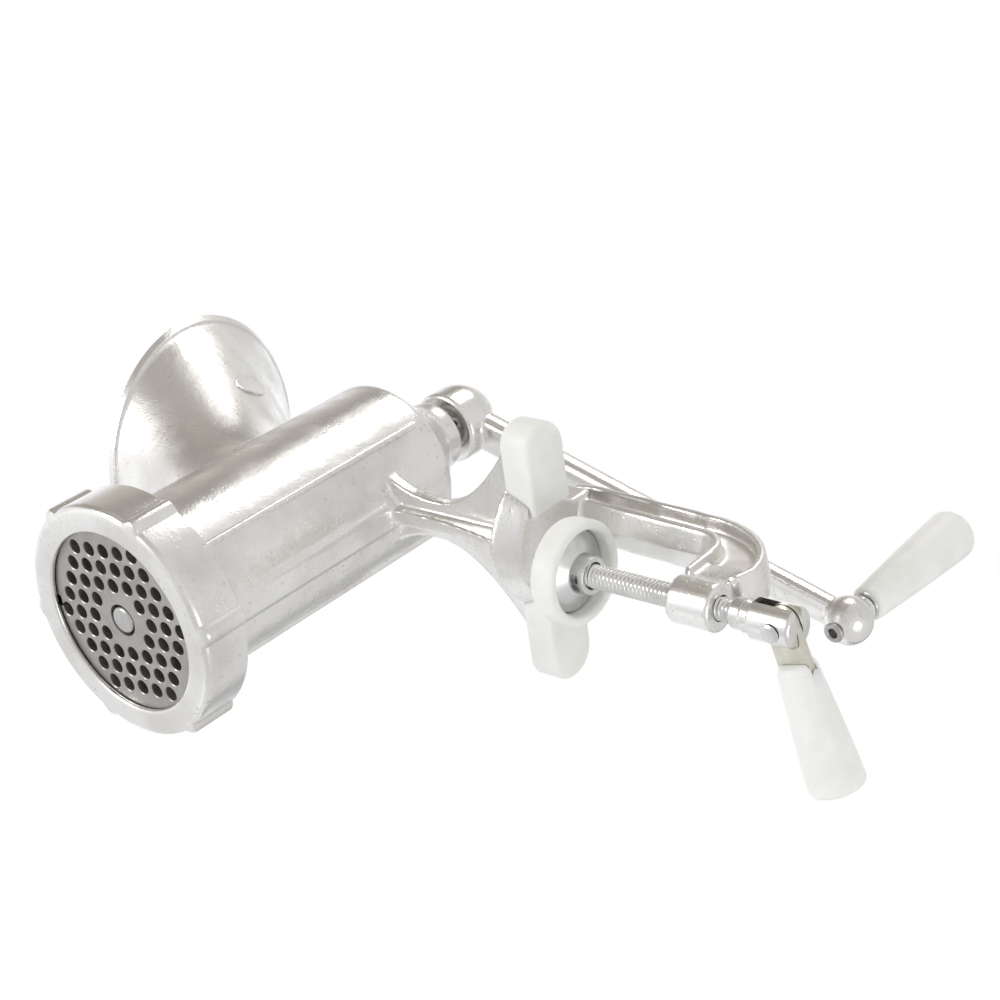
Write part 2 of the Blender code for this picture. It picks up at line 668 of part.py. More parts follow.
def make_stud(coll, parent):
    """Steel stud in the auger's front end that runs in the plate's centre hole."""
    profile = [(0.0, -58.0), (STUD_R, -58.0), (STUD_R, -87.6), (STUD_R - 0.8, -88.4), (0.0, -88.4)]
    stud = turned("auger_stud", profile, "Y", (0, 0, AXIS_Z), coll, steps=24)
    return finish(stud, material("stud_steel", PLATE_GREY, 0.3, 1.0), (0, 0, AXIS_Z), parent)


def make_washer(coll, parent):
    """Thrust washer between the auger's shoulder and the rear wall."""
    profile = [(JOURNAL_R + GAP, 34.7), (14.6, 34.7), (14.6, 33.1), (JOURNAL_R + GAP, 33.1)]
    washer = turned("thrust_washer", profile, "Y", (0, 0, AXIS_Z), coll, steps=28)
    return finish(washer, material("washer_white", WHITE, 0.5, 0.0), (0, 0, AXIS_Z), parent)


def crank_point(distance, y):
    """Point on the crank arm's middle line, at a distance from the crank axis."""
    return Vector((-distance * math.sin(CRANK_REST), y, AXIS_Z - distance * math.cos(CRANK_REST)))


def crank_arm_rings():
    """Rounded sections of the crank arm from the hub to the ball."""
    along = (crank_point(1.0, 0.0) - crank_point(0.0, 0.0)).normalized()
    across = Vector((along.z, 0.0, -along.x))
    rings = []
    for k in range(4):
        d = 4.0 + (CRANK_LENGTH - 6.0) * k / 3.0
        f = k / 3.0
        width = 7.0 - 1.9 * f
        thick = 5.0 - 1.2 * f
        ring = []
        for s in range(12):
            ang = 2.0 * math.pi * s / 12
            cu, su = math.cos(ang), math.sin(ang)
            u = width * math.copysign(abs(cu) ** 0.75, cu)
            v = thick * math.copysign(abs(su) ** 0.75, su)
            ring.append(tuple(crank_point(d, ARM_Y + v) + across * u))
        rings.append(ring)
    return rings


def make_crank_arm(coll, cutters, parent):
    """Cast crank arm with a domed hub, a ball end and a boss for the grip."""
    dome = [(HUB_R * math.cos(math.radians(a)), 74.6 + HUB_R * math.sin(math.radians(a))) for a in range(75, -1, -15)]
    profile = [(0.0, 74.6 + HUB_R * math.sin(math.radians(75.0)))] + dome
    profile += [(HUB_R, HUB_FRONT_Y + 1.0), (HUB_R - 1.0, HUB_FRONT_Y), (0.0, HUB_FRONT_Y)]
    arm = turned("crank_arm", profile, "Y", (0, 0, AXIS_Z), coll, steps=28)
    join(arm, loft("arm_bar", crank_arm_rings(), cutters))
    end = crank_point(CRANK_LENGTH, ARM_Y)
    ball = [(0.0, BALL_R)] + [(BALL_R * math.cos(math.radians(a)), BALL_R * math.sin(math.radians(a)))
                              for a in range(70, -51, -20)] + [(4.7, -7.9), (0.0, -7.9)]
    join(arm, turned("ball", ball, "Y", tuple(end), cutters, steps=20))
    join(arm, cylinder("ball_boss", 4.9, (end.x, ARM_Y, end.z), (end.x, 86.2, end.z), cutters, segments=24))
    turn = Matrix.Rotation(CRANK_REST, 4, "Y")
    square = box("drive_square", (-5.75, HUB_FRONT_Y - 2, -5.75), (5.75, 81.0, 5.75), cutters)
    square.data.transform(turn)
    square.data.transform(Matrix.Translation((0, 0, AXIS_Z * MM)))
    cut(arm, square)
    cut(arm, cylinder("screw_clearance", 2.5 + GAP, (0, 80, AXIS_Z), (0, 92, AXIS_Z), cutters, segments=16),
        cylinder("screw_recess", 4.6 + GAP, (0, 83.6, AXIS_Z), (0, 92, AXIS_Z), cutters, segments=24),
        cylinder("pin_hole", 2.6 + GAP, (end.x, 60, end.z), (end.x, 95, end.z), cutters, segments=18))
    return finish(arm, material("crank_aluminium", SILVER, 0.34, 1.0), (0, 0, AXIS_Z), parent)


def make_crank_screw(coll, cutters, parent):
    """Round-headed screw that holds the crank on the auger's square."""
    profile = [(0.0, 86.6), (2.6, 86.4), (4.0, 85.6), (4.5, 84.4), (4.5, 83.9), (2.5, 83.9),
               (2.5, 70.2), (0.0, 70.2)]
    screw = turned("crank_fixing_screw", profile, "Y", (0, 0, AXIS_Z), coll, steps=24)
    cut(screw, box("screw_slot", (-0.6, 85.4, AXIS_Z - 6), (0.6, 90, AXIS_Z + 6), cutters))
    return finish(screw, material("screw_zinc", ZINC, 0.3, 1.0), (0, 0, AXIS_Z), parent)


def make_handle_pin(coll, cutters, parent):
    """Steel spindle through the ball and the grip, hollow-riveted in front."""
    end = crank_point(CRANK_LENGTH, 0.0)
    profile = [(0.0, 146.6), (3.6, 146.3), (4.6, 145.1), (2.6, 145.1), (2.6, 68.4),
               (3.4, 68.2), (3.4, 67.2), (2.8, 66.9), (1.6, 66.9), (1.6, 70.0), (0.0, 70.0)]
    pin = turned("handle_pin", profile, "Y", tuple(end), coll, steps=20)
    return finish(pin, material("pin_steel_bright", STEEL, 0.28, 1.0), tuple(end), parent)


def make_grip_washer(coll, parent):
    """Flat washer between the crank's boss and the grip."""
    end = crank_point(CRANK_LENGTH, 0.0)
    profile = [(2.9, 87.3), (5.4, 87.3), (5.4, 86.5), (2.9, 86.5)]
    washer = turned("grip_washer", profile, "Y", tuple(end), coll, steps=18)
    return finish(washer, material("washer_zinc", ZINC, 0.3, 1.0), tuple(end), parent)


def grip_profile(start, end, small, large, bore):
    """Profile of a flared plastic grip with rounded ends, from end back to start."""
    length = end - start
    outer = []
    for k in range(5):
        f = k / 4.0
        outer.append((large + (small - large) * f ** 1.25, end - 1.6 - (length - 3.0) * f))
    return [(bore, end), (large - 1.8, end), (large - 0.6, end - 0.5)] + outer + [(small - 1.2, start), (bore, start)]


def make_crank_grip(coll, parent):
    """White plastic grip that spins on the handle pin."""
    end = crank_point(CRANK_LENGTH, 0.0)
    grip = turned("crank_grip", grip_profile(GRIP_START_Y, GRIP_END_Y, 6.1, 9.0, 2.9), "Y", tuple(end), coll, steps=24)
    return finish(grip, material("grip_white", WHITE, 0.38, 0.0), tuple(end), parent)


# ---- clamp ----------------------------------------------------------------

def make_jaw_pad(name, side, coll, cutters):
    """Soft cap pushed over one horn of the jaw, round at its outer end."""
    inner, outer = PAD_RIGHT_X if side > 0 else PAD_LEFT_X
    rear = PAD_REAR_Y
    shape = [(inner, PAD_FRONT_Y)]
    shape += arc(outer - 7.5, PAD_FRONT_Y + 7.5, 7.5, -90.0, 0.0, 5)
    shape += arc(outer - 9.5, rear - 9.5, 9.5, 0.0, 90.0, 5)
    shape += [(inner, rear)]
    if side < 0:
        shape = [(-x, y) for x, y in reversed(shape)]
    pad = outline_curve(name, shape, "XY", PAD_HEIGHT / 2, PAD_HEIGHT / 2, coll)
    bevel = pad.modifiers.new("round", "BEVEL")
    bevel.width = 1.6 * MM
    bevel.segments = 2
    bevel.limit_method = "ANGLE"
    bevel.angle_limit = math.radians(50.0)
    bpy.context.view_layer.update()
    deps = bpy.context.evaluated_depsgraph_get()
    rounded = bpy.data.meshes.new_from_object(pad.evaluated_get(deps))
    pad.modifiers.clear()
    pad.data = rounded
    near, far = sorted((side * (inner - 3.0), side * (HORN_REACH + 0.4)))
    pocket = box("horn_pocket", (near, HORN_FRONT_Y - GAP, HORN_LOW_Z - GAP),
                 (far, HORN_REAR_Y + GAP, HORN_HIGH_Z + GAP), cutters)
    cut(pad, pocket)
    return finish(pad, material("pad_white", WHITE, 0.45, 0.0))


def make_clamp_screw(coll, cutters, parent):
    """Clamp screw: tip, thread, collar and a slotted clevis for the lever."""
    profile = [(0.0, -17.0), (3.4, -17.0), (3.4, -20.4), (SCREW_R - 0.5, -20.4), (SCREW_R, -21.2),
               (SCREW_R, -76.4), (4.8, -77.2), (4.8, -80.6), (5.3, -81.4), (5.0, CLEVIS_TOP_Z + 1.0),
               (CLEVIS_R, CLEVIS_TOP_Z), (CLEVIS_R, CLEVIS_END_Z + 0.8), (CLEVIS_R - 0.8, CLEVIS_END_Z),
               (0.0, CLEVIS_END_Z)]
    screw = turned("clamp_screw", profile, "Z", (0, 0, 0), coll, steps=24)
    half = LEVER_THICK / 2 + GAP
    cut(screw, box("clevis_slot", (-9, -half, CLEVIS_END_Z - 2), (9, half, PIVOT_Z + 8.0), cutters))
    cut(screw, cylinder("pivot_hole", 2.5 + GAP, (0, -10, PIVOT_Z), (0, 10, PIVOT_Z), cutters, segments=20))
    return finish(screw, material("screw_bright_zinc", ZINC, 0.25, 1.0), (0, 0, 0), parent)


def make_pad_cap(coll, parent):
    """White plastic clamping pad, a cup open towards the screw."""
    profile = [(0.0, PAD_TOP_Z), (PAD_R - 2.4, PAD_TOP_Z), (PAD_R - 0.6, PAD_TOP_Z - 1.2),
               (PAD_R, PAD_TOP_Z - 3.2), (PAD_R, PAD_RIM_Z + 0.8), (PAD_R - 0.8, PAD_RIM_Z),
               (PAD_R - 2.5, PAD_RIM_Z), (PAD_R - 3.3, PAD_RIM_Z + 1.0), (PAD_R - 3.3, -14.4), (0.0, -14.4)]
    cap = turned("clamp_pad_cap", profile, "Z", (0, 0, 0), coll, steps=32)
    return finish(cap, material("pad_cap_white", WHITE, 0.4, 0.0), (0, 0, 0), parent)


def make_swivel_disc(coll, cutters, parent):
    """Dished metal disc inside the pad, with a windowed collar round the screw's tip."""
    profile = [(3.4 + GAP, -17.2), (5.9, -17.2), (12.6, -15.0), (13.0, -15.6), (13.0, -17.0),
               (6.4, -19.8), (6.0, -24.6), (4.3, -24.6), (4.3, -20.0), (3.4 + GAP, -20.0)]
    disc = turned("clamp_swivel_disc", profile, "Z", (0, 0, 0), coll, steps=24)
    cut(disc, box("clip_window", (-3.4, -8.0, -22.9), (2.4, -3.4, -20.5), cutters))
    return finish(disc, material("disc_zinc", ZINC, 0.3, 1.0), (0, 0, 0), parent)


def make_swivel_retainer(coll, parent):
    """Peened washer on the screw's tip that keeps the disc on."""
    profile = [(0.0, -14.7), (4.6, -14.7), (5.0, -15.2), (5.0, -16.7), (0.0, -16.7)]
    ring = turned("swivel_retainer", profile, "Z", (0, 0, 0), coll, steps=24)
    return finish(ring, material("retainer_steel", STEEL, 0.35, 1.0), (0, 0, 0), parent)


def lever_point(distance, side=0.0):
    """Point in the lever's plane (X, Z): along the lever and across it."""
    ux, uz = -math.cos(LEVER_DROOP), -math.sin(LEVER_DROOP)
    return (distance * ux - side * uz, PIVOT_Z + distance * uz + side * ux)


def make_lever(coll, cutters, parent):
    """Flat steel lever that swings in the clevis."""
    outline = [lever_point(5.4 * math.cos(a) * -1.0, 5.4 * math.sin(a))
               for a in [math.radians(-80 + 20 * k) for k in range(9)]]
    outline += [lever_point(14.0, 5.6), lever_point(44.0, 3.2), lever_point(46.0, 0.0),
                lever_point(44.0, -3.2), lever_point(14.0, -5.6)]
    lever = outline_curve("clamp_lever", outline, "XZ", 0.0, LEVER_THICK / 2, coll)
    cut(lever, cylinder("lever_hole", 2.5 + GAP, (0, -5, PIVOT_Z), (0, 5, PIVOT_Z), cutters, segments=20))
    return finish(lever, material("lever_zinc", ZINC, 0.3, 1.0), (0, 0, PIVOT_Z), parent)


def make_lever_rivet(coll, parent):
    """Rivet through the clevis with a low head on each side."""
    profile = [(0.0, 7.4), (2.2, 7.3), (3.1, 6.7), (2.5, 6.7), (2.5, -6.7), (3.1, -6.7), (2.2, -7.3), (0.0, -7.4)]
    rivet = turned("lever_rivet", profile, "Y", (0, 0, PIVOT_Z), coll, steps=18)
    return finish(rivet, material("rivet_zinc", ZINC, 0.25, 1.0), (0, 0, PIVOT_Z), parent)


def make_lever_grip(coll, cutters, parent):
    """White plastic grip moulded over the lever's end."""
    profile = grip_profile(12.4, 53.4, 6.1, 8.9, 0.0)
    grip = turned("lever_grip", profile, "Z", (0, 0, 0), coll, steps=24)
    pocket = [(x, z) for x, z in ((-6.2, 10.0), (-6.2, 14.4), (-3.6, 44.4), (-0.5, 46.6), (0.5, 46.6),
                                  (3.6, 44.4), (6.2, 14.4), (6.2, 10.0))]
    cut(grip, outline_curve("lever_pocket", pocket, "XZ", 0.0, LEVER_THICK / 2 + GAP, cutters))
    swing = Matrix.Rotation(math.pi + (math.pi / 2 - LEVER_DROOP), 4, "Y")
    grip.data.transform(swing)
    grip.data.transform(Matrix.Translation((0, 0, PIVOT_Z * MM)))
    return finish(grip, material("lever_grip_white", WHITE, 0.38, 0.0), (0, 0, PIVOT_Z), parent)


# ---- assembly -------------------------------------------------------------

def main():
    """Build every piece."""
    clear_scene()
    coll = new_collection("hand_crank_meat_grinder")
    cutters = new_collection("cutters")
    make_body(coll, cutters)
    make_ring_nut(coll, cutters)
    make_plate(coll, cutters)
    make_key_pin(coll)
    crank = pivot_empty("crank_axis", (0, 0, AXIS_Z), coll)
    make_knife(coll, cutters, crank)
    make_auger(coll, cutters, crank)
    make_stud(coll, crank)
    make_washer(coll, crank)
    make_crank_arm(coll, cutters, crank)
    make_crank_screw(coll, cutters, crank)
    make_handle_pin(coll, cutters, crank)
    make_grip_washer(coll, crank)
    make_crank_grip(coll, crank)
    make_jaw_pad("jaw_pad_right", 1, coll, cutters)
    make_jaw_pad("jaw_pad_left", -1, coll, cutters)
    clamp = pivot_empty("clamp_axis", (0, 0, 0), coll)
    make_clamp_screw(coll, cutters, clamp)
    make_pad_cap(coll, clamp)
    make_swivel_disc(coll, cutters, clamp)
    make_swivel_retainer(coll, clamp)
    lever = pivot_empty("lever_axis", (0, 0, PIVOT_Z), coll)
    lever.parent = clamp
    lever.matrix_parent_inverse = clamp.matrix_world.inverted()
    make_lever(coll, cutters, lever)
    make_lever_rivet(coll, lever)
    make_lever_grip(coll, cutters, lever)


main()
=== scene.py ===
"""Hand crank meat grinder: the shaped pieces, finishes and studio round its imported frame.

All sizes are in millimetres in the frame's own axes: X to the side, Y from the outlet to the
crank, Z up from the table top. A piece's points are worked out as whole arrays and turned to
metres when its mesh is made.
"""

import logging
import math
from dataclasses import dataclass, field
from enum import Enum
from typing import Any, Sequence

import bmesh
import bpy
import numpy as np
from mathutils import Matrix, Vector


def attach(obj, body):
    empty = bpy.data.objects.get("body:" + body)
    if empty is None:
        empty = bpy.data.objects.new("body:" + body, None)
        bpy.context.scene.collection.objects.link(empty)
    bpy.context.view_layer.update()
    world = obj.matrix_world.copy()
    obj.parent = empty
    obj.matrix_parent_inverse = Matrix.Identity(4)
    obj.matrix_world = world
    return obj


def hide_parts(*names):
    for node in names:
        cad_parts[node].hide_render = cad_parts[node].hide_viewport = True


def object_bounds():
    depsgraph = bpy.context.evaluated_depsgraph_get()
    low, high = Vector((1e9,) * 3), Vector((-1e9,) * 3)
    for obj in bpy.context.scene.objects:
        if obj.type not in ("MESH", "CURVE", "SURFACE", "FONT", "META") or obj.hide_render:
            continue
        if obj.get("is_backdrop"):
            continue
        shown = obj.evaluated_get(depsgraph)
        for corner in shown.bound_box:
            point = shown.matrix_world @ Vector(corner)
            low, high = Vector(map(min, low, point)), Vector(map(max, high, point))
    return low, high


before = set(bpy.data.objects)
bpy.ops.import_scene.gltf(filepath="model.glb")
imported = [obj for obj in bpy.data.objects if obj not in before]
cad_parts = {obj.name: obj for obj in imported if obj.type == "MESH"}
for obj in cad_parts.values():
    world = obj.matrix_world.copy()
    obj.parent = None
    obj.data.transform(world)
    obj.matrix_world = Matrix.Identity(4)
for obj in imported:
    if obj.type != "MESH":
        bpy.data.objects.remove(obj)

Array = np.ndarray
Colour = tuple[float, float, float, float]
MM = 0.001
WELD = 2e-6  # points nearer than this, in metres, are merged
AXIS_Z = 95.0  # height of the barrel's axis above the table top
HUB = (0.0, 0.0, AXIS_Z)
ORIGIN = (0.0, 0.0, 0.0)
WHITE: Colour = (1.0, 1.0, 1.0, 1.0)
LOG = logging.getLogger("grinder")


class Axis(Enum):
    """Line that a turned piece stands round."""

    Y = "along the barrel"
    Z = "along the clamp screw"


class Plane(Enum):
    """Plane that an outline is drawn in; the piece is extruded square to it."""

    XY = "flat on the table"
    XZ = "facing the outlet"
    YZ = "facing the side"


class Join(Enum):
    """How one solid is combined with another."""

    ADD = "UNION"
    CUT = "DIFFERENCE"


class Body(Enum):
    """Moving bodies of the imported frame."""

    CASTING = "body"
    OUTLET = "outlet_plate"
    RING = "ring"
    CRANK = "crank"
    GRIP = "grip"
    PAD = "clamp_pad"
    SCREW = "screw"
    LEVER = "lever"


# ---- shaping ---------------------------------------------------------------

def angles(steps: int) -> Array:
    """Angles of a full turn in even steps."""
    return np.linspace(0.0, 2 * np.pi, steps, endpoint=False)


def rounded(points: Sequence[Sequence[float]], reach: float, steps: int = 4, closed: bool = False) -> Array:
    """Line with its corners rounded.

    Formula: a corner c between p and n becomes the quadratic curve from a to b through
    (1-t)^2 a + 2t(1-t) c + t^2 b, where a and b lie on the two sides, no further than the
    reach or 0.45 of the side's length from c.

    Args:
        points: corners in order, each with two or more numbers.
        reach: distance from a corner at which its curve starts.
        steps: points in each curve, less one.
        closed: whether the last corner joins the first.

    Returns:
        The rounded line, one point a row.
    """
    corner = np.asarray(points, float)
    before, after = np.roll(corner, 1, axis=0), np.roll(corner, -1, axis=0)
    mid = slice(None) if closed else slice(1, -1)
    c, p, n = corner[mid], before[mid] - corner[mid], after[mid] - corner[mid]
    len_p = np.linalg.norm(p[:, :2], axis=1, keepdims=True) + 1e-9
    len_n = np.linalg.norm(n[:, :2], axis=1, keepdims=True) + 1e-9
    cut = np.minimum(reach, 0.45 * np.minimum(len_p, len_n))
    a, b = c + p / len_p * cut, c + n / len_n * cut
    t = np.linspace(0.0, 1.0, steps + 1)[None, :, None]
    curve = (1 - t) ** 2 * a[:, None] + 2 * t * (1 - t) * c[:, None] + t ** 2 * b[:, None]
    line = curve.reshape(-1, corner.shape[1])
    return line if closed else np.vstack([corner[:1], line, corner[-1:]])


def turned(profile: Array, axis: Axis, centre: Sequence[float], steps: int = 96,
           swell: Array | None = None) -> Array:
    """Grid of a turned surface.

    Formula: the point at profile place u and angle v stands at radius r(u) from the centre
    line in the direction (cos v, sin v), at the distance s(u) along the line. With a swell,
    the third number of the profile's row says how much of swell(v) is added to the radius.

    Args:
        profile: rows of radius and distance along the line, and the share of the swell.
        axis: direction of the centre line.
        centre: a point on the centre line.
        steps: points round the line.
        swell: extra radius at each angle.

    Returns:
        Points, profile places by angles by three.
    """
    angle = angles(steps)
    radius = np.repeat(profile[:, :1], steps, axis=1)
    if swell is not None:
        radius = radius + profile[:, 2:3] * swell[None, :]
    first, second = radius * np.cos(angle), radius * np.sin(angle)
    run = np.repeat(profile[:, 1:2], steps, axis=1)
    order = (first, run, second) if axis is Axis.Y else (first, second, run)
    return np.stack(order, axis=-1) + np.asarray(centre, float)


def extruded(outline: Array, plane: Plane, low: float, high: float) -> Array:
    """Grid of a flat piece.

    Formula: the outline lies in its plane at the low level, then again at the high level.

    Args:
        outline: corners, two numbers a row.
        plane: plane that the outline is drawn in.
        low: level of the first face.
        high: level of the second face.

    Returns:
        Points, two levels by corners by three.
    """
    first, second = outline[:, 0], outline[:, 1]
    rows = []
    for level in (low, high):
        flat = np.full_like(first, level)
        order = {Plane.XY: (first, second, flat), Plane.XZ: (first, flat, second),
                 Plane.YZ: (flat, first, second)}
        rows.append(np.stack(order[plane], axis=-1))
    return np.stack(rows)


def linked(name: str, data: Any) -> bpy.types.Object:
    """New object in the scene that carries the data.

    Args:
        name: name of the new object or material.
        data: mesh, lamp or camera data.

    Returns:
        The object.
    """
    made = bpy.data.objects.new(name, data)
    bpy.context.scene.collection.objects.link(made)
    return made


def meshed(name: str, points: Array, faces: list[Any], weld: float = 0.0) -> bpy.types.Object:
    """Piece made of points and faces, the faces pointing outwards.

    Args:
        name: name of the piece.
        points: points in millimetres, in the order that the faces count them.
        faces: numbers of the points round each face.
        weld: distance in metres under which points are merged, or nought to keep them all.

    Returns:
        The piece.
    """
    mesh = bpy.data.meshes.new(name)
    mesh.from_pydata((points.reshape(-1, 3) * MM).tolist(), [], faces)
    tidy = bmesh.new()
    tidy.from_mesh(mesh)
    if weld:
        bmesh.ops.remove_doubles(tidy, verts=tidy.verts, dist=weld)
    bmesh.ops.recalc_face_normals(tidy, faces=tidy.faces)
    tidy.to_mesh(mesh)
    tidy.free()
    return linked(name, mesh)


def solid(name: str, grid: Array, loop: bool = False) -> bpy.types.Object:
    """Closed mesh over a grid of points, each row of the grid closed on itself.

    Args:
        name: name of the piece.
        grid: points, rows by columns by three, in millimetres.
        loop: whether the last row joins the first; otherwise both end rows get a face.

    Returns:
        The piece, its doubled points merged and its faces pointing outwards.
    """
    rows, columns = grid.shape[:2]
    index = np.arange(rows * columns).reshape(rows, columns)
    lower = index if loop else index[:-1]
    upper = np.roll(index, -1, axis=0) if loop else index[1:]
    quads = np.stack([lower, np.roll(lower, -1, 1), np.roll(upper, -1, 1), upper], axis=-1)
    faces = quads.reshape(-1, 4).tolist()
    if not loop:
        faces += [index[0][::-1].tolist(), index[-1].tolist()]
    return meshed(name, grid, faces, WELD)


def rod(name: str, axis: Axis, centre: Sequence[float], radius: float, low: float, high: float,
        steps: int) -> bpy.types.Object:
    """Plain round rod, as a piece or as the cutter for a round hole.

    Formula: the outline centre line, low end, high end, centre line is turned round the axis.

    Args:
        name: name of the rod.
        axis: direction of its centre line.
        centre: a point on its centre line.
        radius: its radius.
        low: place of its first end along the axis.
        high: place of its second end along the axis.
        steps: points round it.

    Returns:
        The rod.
    """
    profile = np.array([(0.0, low), (radius, low), (radius, high), (0.0, high)])
    return solid(name, turned(profile, axis, centre, steps))


def block(name: str, plane: Plane, first: Sequence[float], last: Sequence[float], low: float,
          high: float) -> bpy.types.Object:
    """Rectangular block, as a piece or as the cutter for a slot.

    Args:
        name: name of the block.
        plane: plane that its rectangle is drawn in.
        first: corner of the rectangle with the smaller numbers.
        last: opposite corner.
        low: level of its first face.
        high: level of its second face.

    Returns:
        The block.
    """
    (left, bottom), (right, top) = first, last
    outline = np.array([(left, bottom), (right, bottom), (right, top), (left, top)])
    return solid(name, extruded(outline, plane, low, high))


def settle(piece: bpy.types.Object) -> bpy.types.Object:
    """Applies a piece's modifiers to its mesh.

    Args:
        piece: piece that is worked on.

    Returns:
        The same piece.
    """
    bpy.context.view_layer.update()
    graph = bpy.context.evaluated_depsgraph_get()
    mesh = bpy.data.meshes.new_from_object(piece.evaluated_get(graph))
    piece.modifiers.clear()
    old, piece.data = piece.data, mesh
    bpy.data.meshes.remove(old)
    return piece


def combine(piece: bpy.types.Object, how: Join, *tools: bpy.types.Object) -> bpy.types.Object:
    """Adds each tool to a piece, or cuts it out, and removes the tools.

    Args:
        piece: piece that is worked on.
        how: whether the tools are added or cut out.
        tools: pieces that are used up.

    Returns:
        The same piece.
    """
    for tool in tools:
        for solver in ("MANIFOLD", "EXACT"):
            before = len(piece.data.vertices)
            step = piece.modifiers.new("combine", "BOOLEAN")
            step.operation, step.object, step.solver = how.value, tool, solver
            settle(piece)
            if len(piece.data.vertices) not in (0, before):
                break
        else:
            LOG.warning("%s: %s had no effect", piece.name, tool.name)
        bpy.data.objects.remove(tool)
    return piece


def recast(piece: bpy.types.Object, grain: float, passes: int, limit: int) -> bpy.types.Object:
    """Melts a piece's sharp inner corners into cast fillets.

    The shape is rebuilt on an even lattice of the grain's size, its points are averaged with
    their neighbours, and the faces are thinned to the limit.

    Args:
        piece: piece that is recast.
        grain: size of the lattice in millimetres.
        passes: how often the points are averaged.
        limit: triangles that are kept.

    Returns:
        The same piece.
    """
    melt = piece.modifiers.new("melt", "REMESH")
    melt.mode, melt.voxel_size = "VOXEL", grain * MM
    ease = piece.modifiers.new("ease", "SMOOTH")
    ease.factor, ease.iterations = 0.5, passes
    settle(piece)
    faces = 2 * len(piece.data.polygons)
    if limit < faces:
        thin = piece.modifiers.new("thin", "DECIMATE")
        thin.ratio = limit / faces
        settle(piece)
    return piece


def softened(piece: bpy.types.Object, width: float, segments: int, angle: float) -> bpy.types.Object:
    """Rounds a piece's sharp edges.

    Args:
        piece: piece that is worked on.
        width: width of the rounding in millimetres.
        segments: faces across the rounding.
        angle: turn in degrees from which an edge is sharp.

    Returns:
        The same piece.
    """
    edge = piece.modifiers.new("edge", "BEVEL")
    edge.width, edge.segments = width * MM, segments
    edge.limit_method, edge.angle_limit = "ANGLE", math.radians(angle)
    edge.use_clamp_overlap = True
    return settle(piece)


def smooth(piece: bpy.types.Object, angle: float = 35.0) -> bpy.types.Object:
    """Shades a piece smoothly, with a crease wherever its faces turn by more than the angle.

    Args:
        piece: piece that is worked on.
        angle: turn in degrees from which an edge is a crease.

    Returns:
        The same piece.
    """
    piece.data.shade_smooth()
    piece.data.set_sharp_from_angle(angle=math.radians(angle))
    return piece


def swung(piece: bpy.types.Object, turn: Matrix, centre: Sequence[float]) -> bpy.types.Object:
    """Turns a piece's mesh about the origin and then moves it to a centre.

    Args:
        piece: piece that is worked on.
        turn: rotation about the origin.
        centre: place in millimetres that the origin moves to.

    Returns:
        The same piece.
    """
    piece.data.transform(turn)
    piece.data.transform(Matrix.Translation(Vector(centre) * MM))
    return piece


# ---- shading ---------------------------------------------------------------

class Wire:
    """One output of a shader node, with arithmetic written as plain expressions."""

    def __init__(self, bench: "Bench", socket: bpy.types.NodeSocket) -> None:
        """Keeps the bench and the socket."""
        self.bench, self.socket = bench, socket

    def _maths(self, operation: str, first: Any, second: Any = 0.0) -> "Wire":
        """Adds a Math node that works on two numbers or wires."""
        return self.bench.add("ShaderNodeMath", {"operation": operation}, {0: first, 1: second})

    def __add__(self, other: Any) -> "Wire":
        """This wire plus another."""
        return self._maths("ADD", self, other)

    def __sub__(self, other: Any) -> "Wire":
        """This wire less another."""
        return self._maths("SUBTRACT", self, other)

    def __rsub__(self, other: Any) -> "Wire":
        """A number less this wire."""
        return self._maths("SUBTRACT", other, self)

    def __mul__(self, other: Any) -> "Wire":
        """This wire times another."""
        return self._maths("MULTIPLY", self, other)

    __radd__, __rmul__ = __add__, __mul__

    def ramp(self, low: float, high: float, start: float = 0.0, end: float = 1.0) -> "Wire":
        """Smooth step from start to end as this wire goes from low to high.

        Args:
            low: value at which the step begins.
            high: value at which it ends.
            start: result below the step.
            end: result above it.

        Returns:
            The stepped value.
        """
        settings = {"interpolation_type": "SMOOTHSTEP"}
        inputs = {"Value": self, "From Min": low, "From Max": high, "To Min": start, "To Max": end}
        return self.bench.add("ShaderNodeMapRange", settings, inputs)


